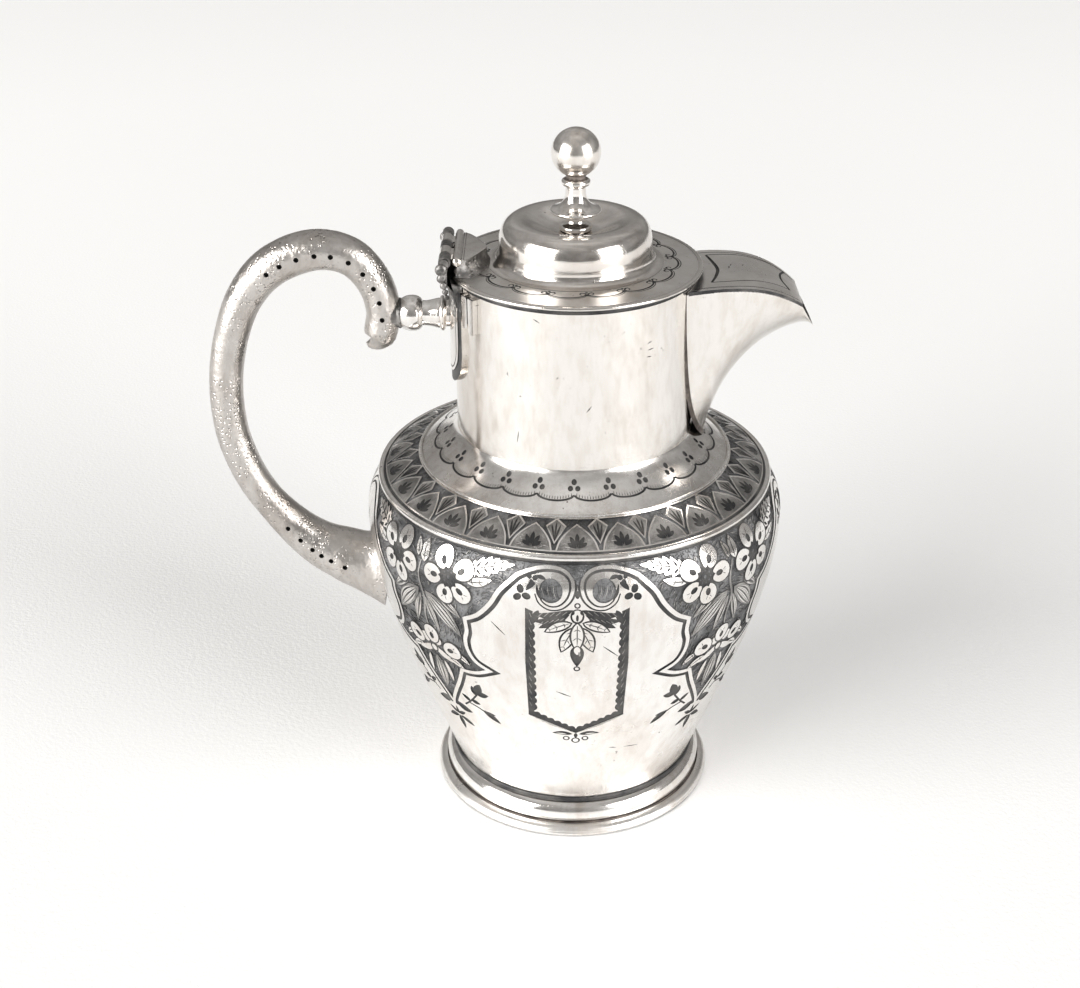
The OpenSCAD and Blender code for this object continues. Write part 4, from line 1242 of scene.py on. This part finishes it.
def make_saddle():
    """Seat under the knuckles: it flares outwards and is scalloped at both ends."""
    b = Builder()
    rows = []
    ys = np.linspace(-10.9, 10.9, 89)
    for y in ys:
        e = min(1.0, (10.9 - abs(y)) / 1.4)
        wave = 0.22 * math.sin(abs(y) * 4.2) * (1 - e)
        z = np.linspace(121.2 + 1.1 * (1 - e), 132.35, 26)
        base = math.sqrt(max(0, 27.6**2 - y * y))
        out = np.interp(z, [121, 124.5, 128, 130.8, 132.4], [0, 0.1, 0.55, 1.0, 0.8])
        ripple = wave * np.clip((z - 123) / 6, 0, 1) * np.sin(z * 2.9)
        x_out = 0.35 * (1 - e) ** 2 - np.maximum(base * (1 - out) + 28.6 * out, 24.0) - ripple
        x_in = np.where(z < 129.1, -math.sqrt(26.55**2 - y * y), -27.35)
        x_out = np.minimum(x_out, x_in - 0.12)
        row = [np.column_stack([x, np.full(26, y), z]) for x in (x_out, x_in)]
        rows.append(np.vstack([row[0], row[1][::-1]]))
    grid_skin(b, np.array(rows), 0, round_up=True, caps=True)
    a = np.linspace(0, TAU, 20, endpoint=False)
    beads = ((-28.55, 10.55, 132.4, 1.35), (-28.5, 10.7, 130.5, 1.05), (-28.1, 10.75, 128.9, 0.8),
        (-27.8, 10.75, 127.5, 0.66), (-27.55, 10.7, 126.3, 0.6))
    for s in (-1, 1):
        for x, y, z, r in beads:
            ball = []
            for k in 0.999 * np.linspace(-math.pi / 2, math.pi / 2, 9):
                w = r * math.cos(k)
                ball.append(np.column_stack([x + w * np.cos(a), s * y + 0.62 * w * np.sin(a),
                    np.full(20, z + r * math.sin(k))]))
            grid_skin(b, ball, 0, round_up=True)
    b.piece("hinge_saddle", ["dark"], "jug", ["hinge_seat"])


def make_escutcheon():
    """Plate on the neck behind the baluster: one long leaf and two short tongues on each side."""
    b = Builder()
    thick = 1.15

    def plate(u, v, d):
        a = math.pi + u / NECK_R
        r = NECK_R - 0.05 + thick - d
        return np.stack([r * np.cos(a), r * np.sin(a), v], 1)

    def tongue(c, half, low):
        return join(arc((c, low + half), half, 180, 360, 14), [[c + half, 127.8], [c - half, 127.8]])

    def loop(right):
        """Points on the right half, mirrored to the left."""
        right = np.array(right)
        return smooth(np.vstack([(right * [-1, 1])[::-1], right[1:]]), 0.6)

    bottom = loop([[0, 104.4], [3.6, 104.7], [8, 106.0], [11.4, 109.4], [12.4, 113.5]])
    lobe = closed(join([[-12.4, 127.8]], bottom, [[12.4, 127.8]]), 0.6)
    shapes = [(box(-24, 100, 24, 131, 2), HOLE), (lobe, BRIGHT)]
    for c, half, low in ((14.2, 1.05, 120.6), (-14.2, 1.05, 120.6), (16.6, 0.95, 119.8),
            (-16.6, 0.95, 119.8)):
        shapes.append((closed(tongue(c, half, low), 0.6), BRIGHT))
    shapes += [(lobe, LINE), ((lobe - [0, 118]) * [0.86, 0.88] + [0, 118.6], BRIGHT)]
    line = loop([[0, 107.5], [3.0, 107.7], [6.2, 108.6], [8.6, 111], [9.4, 114], [9.4, 122]])
    shapes.append((stroke(line, 0.3), LINE))
    relief(b, plate, shapes, (-22, 22), (102, 128.0), 1.4, back=thick, back_mat=0)
    b.piece("neck_escutcheon", ["turned", "matt", "line", "ground"], "jug", ["back_plate"])


# ---------------------------------------------------------------- finial


def make_finial():
    z = CROWN_Z
    b = Builder()
    # the foot's ends (material 1) are painted dark as shade where it meets the dome and the spindle
    lathe(b, [[1.3, z], [2.6, z], [3.25, z + 0.2]], 1, 96)
    lathe(b, join(arc((2.85, z + 0.75), 0.75, -55, 75, 14),
        cubic([[2.7, z + 1.5], [2.1, z + 1.9], [2.0, z + 2.4], [2.1, z + 3.1]], 14)), 0, 96)
    lathe(b, [[2.1, z + 3.1], [2.6, z + 3.8], [1.3, z + 3.8]], 1, 96)
    b.piece("finial_foot", ["turned", "crease_shade_and_tarnish"], "lid", ["finial_base"])
    b = Builder()
    rim = 142.3
    # the cup under the rim and the top under the ball (material 1) are painted dark as shade
    lathe(b, join([[1.3, z + 3.8], [2.9, z + 3.8]],
        cubic([[3.2, z + 3.82], [4.2, z + 3.9], [4.7, rim - 0.8], [5.1, rim - 0.58]], 12)), 1, 128)
    lathe(b, join(arc((5.15, rim - 0.2), 0.4, -75, 80, 10),
        cubic([[4.9, rim + 0.28], [3.1, rim + 0.9], [2.25, rim + 2.0], [2.2, 146.2]], 24),
        cubic([[2.2, 146.2], [2.2, 147], [2.2, 147.5], [2.4, 147.65]], 8)), 0, 128)
    lathe(b, join(arc((2.45, 148.3), 0.7, -70, 75, 10)), 0, 128)
    lathe(b, [[2.63, 148.98], [2.1, 149.2], [2.1, 149.9], [1.3, 149.9]], 1, 128)
    b.piece("finial_spindle", ["turned", "crease_shade_and_tarnish"], "lid", ["finial_stem"])
    b = Builder()
    lathe(b, join(arc((0, 154.7), 5.3, -66, 90, 64)), 0, 128)
    b.piece("finial_knob", ["plain"], "lid", ["finial_ball"])


# ---------------------------------------------------------------- foot


def make_foot():
    h = 2.6
    b = Builder()
    # the ring's underside and lower edge, its top step and inner faces (material 1) are painted dark as shade
    # under and between the parts
    lathe(b, join([[31.0, 1.0], [31.4, 0], [32.5, 0]], arc((32.5, 0.7), 0.7, -90, -40, 6)), 1, 288)
    lathe(b, join(arc((32.5, 0.7), 0.7, -40, 42, 10),
        cubic([[33.02, 1.17], [32.9, 1.9], [32.2, 2.4], [31.25, 2.45]], 14)), 2, 288)
    lathe(b, [[31.25, 2.45], [31.05, 2.35], [30.9, h], [29.4, h], [29.4, h - 0.9], [31.0, 1.0]], 1, 288)
    b.piece("foot_ring", ["turned", "crease_shade_and_tarnish", "worn"], "jug", ["foot_flange"])
    b = Builder()
    swell = cubic([[30.9, h + 0.25], [31.6, 4.9], [30.6, 7.2], [28.1, 7.6]], 30)
    # the swell's lower step and its top join under the body (material 1) are painted dark as crease shade
    lathe(b, join([[29.6, h], [30.8, h]], swell[:2]), 1, 288)
    lathe(b, swell[1:29], 0, 288)
    lathe(b, join(swell[28:], [[27.3, 7.6], [27.3, 6.7], [28.4, 6.7]],
        cubic([[28.4, 6.7], [29.6, 6.1], [30.1, 4.4], [29.6, h + 0.3]], 12), [[29.6, h]]), 1, 288)
    b.piece("foot_swell", ["turned", "crease_shade_and_tarnish"], "jug", ["foot_collar"])


# ---------------------------------------------------------------- handle

BOW = [[-52.5, 57.2], [-60, 61], [-67.2, 67.8], [-73.6, 77], [-77.5, 88], [-78.4, 99], [-77, 110],
    [-73, 121.4], [-66.4, 129.3], [-57, 133.2], [-49, 131.8], [-44, 126.2], [-42.2, 119.6], [-42.9, 114.4]]


BALUSTER_Z = 118.6


class Tube:
    """Round bar along a line in the XZ plane, beaten all over. u is length round it, v is length along it."""

    def __init__(self, line, radius, wide, ref):
        self.p = np.asarray(line, float)
        self.s = along(self.p)
        self.length = self.s[-1]
        t = np.gradient(self.p, self.s, axis=0)
        self.t = unit(t)
        self.r, self.w, self.ref = np.asarray(radius), np.asarray(wide), ref
        self.round = TAU * ref
        count = int(self.length * self.round / 1.5)
        u, v = rng.uniform(0, self.round, count), rng.uniform(0, self.length, count)
        self.blows = None
        spots = self(u, v, np.zeros(count))
        self.blows = KDTree(count)
        for i, p in enumerate(spots):
            self.blows.insert(p, i)
        self.blows.balance()
        self.force = rng.uniform(0.45, 1.0, count)

    def __call__(self, u, v, depth):
        at = lambda a: np.interp(v, self.s, a)
        x, z, tx, tz, r, w = at(self.p[:, 0]), at(self.p[:, 1]), at(self.t[:, 0]), at(self.t[:,
            1]), at(self.r), at(self.w)
        a = u / self.ref
        c, s = np.cos(a), np.sin(a)
        out = np.stack([tz * c, s * w, -tx * c], 1)
        base = np.stack([x, np.zeros_like(x), z], 1)
        p = base + out * r[:, None]
        deep = depth + wobble(p) * 0.6
        if self.blows is not None:
            hits = np.empty(len(p))
            for i, q in enumerate(p):
                near = self.blows.find_n(q, 2)
                hits[i] = max(self.force[k] * 0.035 * max(0.0, 1 - (d / 1.2) ** 2) for _, k, d in near)
            deep = deep + hits * np.clip(r / 2.5, 0, 1)
        return base + out * np.maximum(r - deep, 0.01)[:, None]


def make_handle():
    """Scroll handle in one skin, from the flare on the body to the curled tip, with drilled holes."""
    bow = smooth(BOW, 0.5)
    u = along(bow)
    u = u / u[-1]
    bow_r = 3.85 + 0.75 * np.exp(-(((u - 0.74) / 0.13) ** 2)) + 2.9 * np.maximum(0, 1 - u / 0.2) ** 1.5
    flare_line = cubic([[-52.5, 57.2], [-50, 56.1], [-47.5, 55.4], [-43.4, 54.8]], 24)[::-1]
    flare_r = cubic([[6.75, 0], [7, 0], [8, 0], [10.4, 0]], 24)[::-1, 0]
    start = np.array(BOW[-1])
    turn = np.array(
        [[0, 0], [-0.1, -0.8], [-0.4, -1.6], [-0.9, -2.3], [-1.6, -2.8], [-2.4, -3], [-3.1, -2.9],
            [-3.6, -2.7]]
    )
    tip_line = spaced(smooth(start + turn, 0.1), 5.3 / 30)[:31]
    t = np.linspace(0, 1, len(tip_line))
    tip_r = np.interp(t, np.linspace(0, 1, 8), [3.85, 3.7, 3.3, 2.7, 2.15, 1.6, 1.1, 0.75])
    tip_r = tip_r * np.sqrt(np.clip(1 - np.clip((t - 0.86) / 0.14, 0, 1) ** 2, 0.0004, 1))
    line = np.vstack([flare_line[:-1], bow, tip_line[1:]])
    radius = np.concatenate([flare_r[:-1], bow_r, tip_r[1:]])
    wide = np.concatenate([1 - 0.2 * np.linspace(1, 0, 25)[:-1], np.ones(len(bow)),
        np.ones(len(tip_line) - 1)])
    tube = Tube(line, radius, wide, 4.0)
    half = tube.round / 2
    holes = []
    up = [[-66.0, 128.6], [-63.3, 130.6], [-59.9, 132.0], [-56.1, 132.9], [-52.6, 132.5]]
    up += [[-49.4, 131.0], [-46.6, 128.3], [-44.9, 125.1], [-43.6, 121.9], [-42.8, 118.4]]
    low = [[-66.3, 66.8], [-63.4, 64.0], [-61.0, 61.9], [-59.0, 60.3], [-56.7, 58.9], [-53.7, 57.4]]
    for x, z in up + low:
        d = np.hypot(line[:, 0] - x, line[:, 1] - z)
        v = tube.s[int(np.argmin(d))]
        for side in (-1, 1):
            c = (side * math.pi / 2 * tube.ref, v)
            r_here = float(np.interp(v, tube.s, tube.r))
            holes.append((egg(c, 0.58 * tube.ref / r_here, 0.58, n=14), GROUND))
    b = Builder()
    # the holes' bottoms and walls are painted near black as shade
    relief(b, tube, holes, (-half, half), (0, tube.length), 0.62, wrap=True, depths=[0, 0.1, 0.2, 0.9],
        measured=True)
    nodes = ["handle_bow", "handle_tip", "handle_socket"]
    b.piece("hammered_handle", ["hammered", "matt", "line", "pit"], "jug", nodes)


def make_baluster():
    """Turned fitting between the back plate and the handle, and its collar."""
    b = Builder()
    ring = join([[3.0, 27.5], [3.0, 28.2], [3.2, 28.45]], arc((3.3, 29.1), 0.6, -90, 90, 12))
    waist = cubic([[3.35, 29.9], [3.15, 31], [2.75, 32.2], [2.75, 33.3]], 16)
    bulb = cubic([[2.8, 33.5], [4.3, 34.2], [4.2, 37], [3.2, 38.2]], 24)
    lobes = lambda a, h: 1 + 0.035 * np.cos(4 * a) * (1 if h > 33 else 0.3)
    lathe(b, join(ring, waist, bulb, [[0, 38.2]]), 0, 96, back_at=BALUSTER_Z, flute=lobes)
    b.piece("handle_baluster", ["turned"], "jug", ["handle_fitting"])
    b = Builder()
    collar = join([[0, 38.1], [3.1, 38.1]], arc((3.0, 38.5), 0.4, -60, 60, 6),
        [[3.1, 39.2], [3.4, 40.2], [0, 40.3]])
    lathe(b, collar, 0, 64, back_at=BALUSTER_Z)
    b.piece("baluster_collar", ["dark"], "jug", ["fitting_collar"])


# ---------------------------------------------------------------- what stays from the CAD


def dress_cad():
    """Looks of the small parts that are shown as they were built."""
    looks = {"body_knuckles": "dark", "hinge_pin": "dark", "lid_knuckles": "turned", "lid_bezel": "inside"}
    looks.update({"finial_stud": "dark", "finial_nut": "dark"})
    for name, mat in looks.items():
        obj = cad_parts[name]
        obj.data.materials.clear()
        obj.data.materials.append(MATERIALS[mat])


# ---------------------------------------------------------------- stage


def make_table():
    """Round white table top under the jug."""
    mesh = bpy.data.meshes.new("table_top")
    n = 49
    t = np.linspace(0, TAU, n, endpoint=False)
    rows = [np.column_stack([r * np.cos(t), 0.4 + r * np.sin(t), np.full(n, -0.0001)])
        for r in (0.3, 0.9, 2.6)]
    co = np.vstack(rows + [[[0, 0.4, -0.0001]]])
    faces = [(k * n + j, (k + 1) * n + j, (k + 1) * n + (j + 1) % n, k * n + (j + 1) % n) for k in range(2)
        for j in range(n)]
    faces += [(3 * n, j, (j + 1) % n) for j in range(n)]
    mesh.from_pydata(co.tolist(), [], faces)
    mesh.materials.append(floor_material())
    floor = bpy.data.objects.new("table_top", mesh)
    bpy.context.scene.collection.objects.link(floor)


def make_world():
    """Grey gradient with soft clouds for reflections, and a plain backdrop for the camera."""
    world = bpy.data.worlds.new("studio")
    bpy.context.scene.world = world
    world.use_nodes = True
    tree = world.node_tree
    tree.nodes.clear()
    new, link = tree.nodes.new, tree.links.new
    out, back = new("ShaderNodeOutputWorld"), new("ShaderNodeBackground")
    coord, split = new("ShaderNodeTexCoord"), new("ShaderNodeSeparateXYZ")
    link(coord.outputs["Generated"], split.inputs[0])
    ramp = new("ShaderNodeValToRGB")
    link(split.outputs["Z"], ramp.inputs["Fac"])
    stops = [(0.0, 0.24), (0.10, 0.27), (0.34, 0.33), (0.60, 0.37), (0.86, 0.48), (0.97, 0.56), (1.0, 0.74)]
    ramp.color_ramp.elements.remove(ramp.color_ramp.elements[1])
    for k, (pos, value) in enumerate(stops):
        el = ramp.color_ramp.elements[0] if k == 0 else ramp.color_ramp.elements.new(pos)
        el.position = pos
        el.color = (value, value * 0.97, value * 0.94, 1)
    cloud, cloud_range = new("ShaderNodeTexNoise"), new("ShaderNodeMapRange")
    link(coord.outputs["Generated"], cloud.inputs["Vector"])
    cloud.inputs["Scale"].default_value = 2.2
    cloud.inputs["Detail"].default_value = 2.0
    link(cloud.outputs["Fac"], cloud_range.inputs["Value"])
    for key, v in (("From Min", 0.3), ("From Max", 0.7), ("To Min", 0.62), ("To Max", 1.25)):
        cloud_range.inputs[key].default_value = v
    room = new("ShaderNodeMix")
    room.data_type, room.blend_type = "RGBA", "MULTIPLY"
    room.inputs[0].default_value = 1.0
    link(ramp.outputs["Color"], room.inputs[6])
    link(cloud_range.outputs["Result"], room.inputs[7])
    path, mix = new("ShaderNodeLightPath"), new("ShaderNodeMix")
    mix.data_type = "RGBA"
    link(path.outputs["Is Camera Ray"], mix.inputs[0])
    link(room.outputs[2], mix.inputs[6])
    mix.inputs[7].default_value = (0.93, 0.935, 0.94, 1)
    link(mix.outputs[2], back.inputs["Color"])
    back.inputs["Strength"].default_value = 1.0
    link(back.outputs[0], out.inputs[0])


def lamp(name, az, el, far, size, power, color):
    """Window light, far from the jug in the direction az, el and aimed at its middle."""
    a, e = math.radians(az), math.radians(el)
    at = Vector((math.cos(a) * math.cos(e), math.sin(a) * math.cos(e), math.sin(e))) * far
    data = bpy.data.lights.new(name, "AREA")
    data.shape = "RECTANGLE"
    data.size, data.size_y = size
    data.energy = power
    data.color = color
    obj = bpy.data.objects.new(name, data)
    bpy.context.scene.collection.objects.link(obj)
    obj.location = at
    obj.rotation_euler = (Vector((0, 0, 0.1)) - at).to_track_quat("-Z", "Y").to_euler()


def make_stage():
    make_table()
    make_world()
    lamp("window_left", -146, 15, 5.2, (4.0, 4.4), 520, (1, 0.99, 0.97))
    lamp("window_right", -36, 15, 5.2, (3.0, 4.2), 345, (1, 0.99, 0.98))


def main():
    make_camera()
    make_stage()
    make_body()
    make_shoulder()
    make_shoulder_wire()
    make_neck()
    make_spout()
    make_spout_plate()
    make_lid()
    make_tongue()
    make_saddle()
    make_escutcheon()
    make_finial()
    make_foot()
    make_handle()
    make_baluster()
    dress_cad()
    scene = bpy.context.scene
    scene.view_settings.view_transform = "Standard"
    scene.view_settings.look = "None"


main()
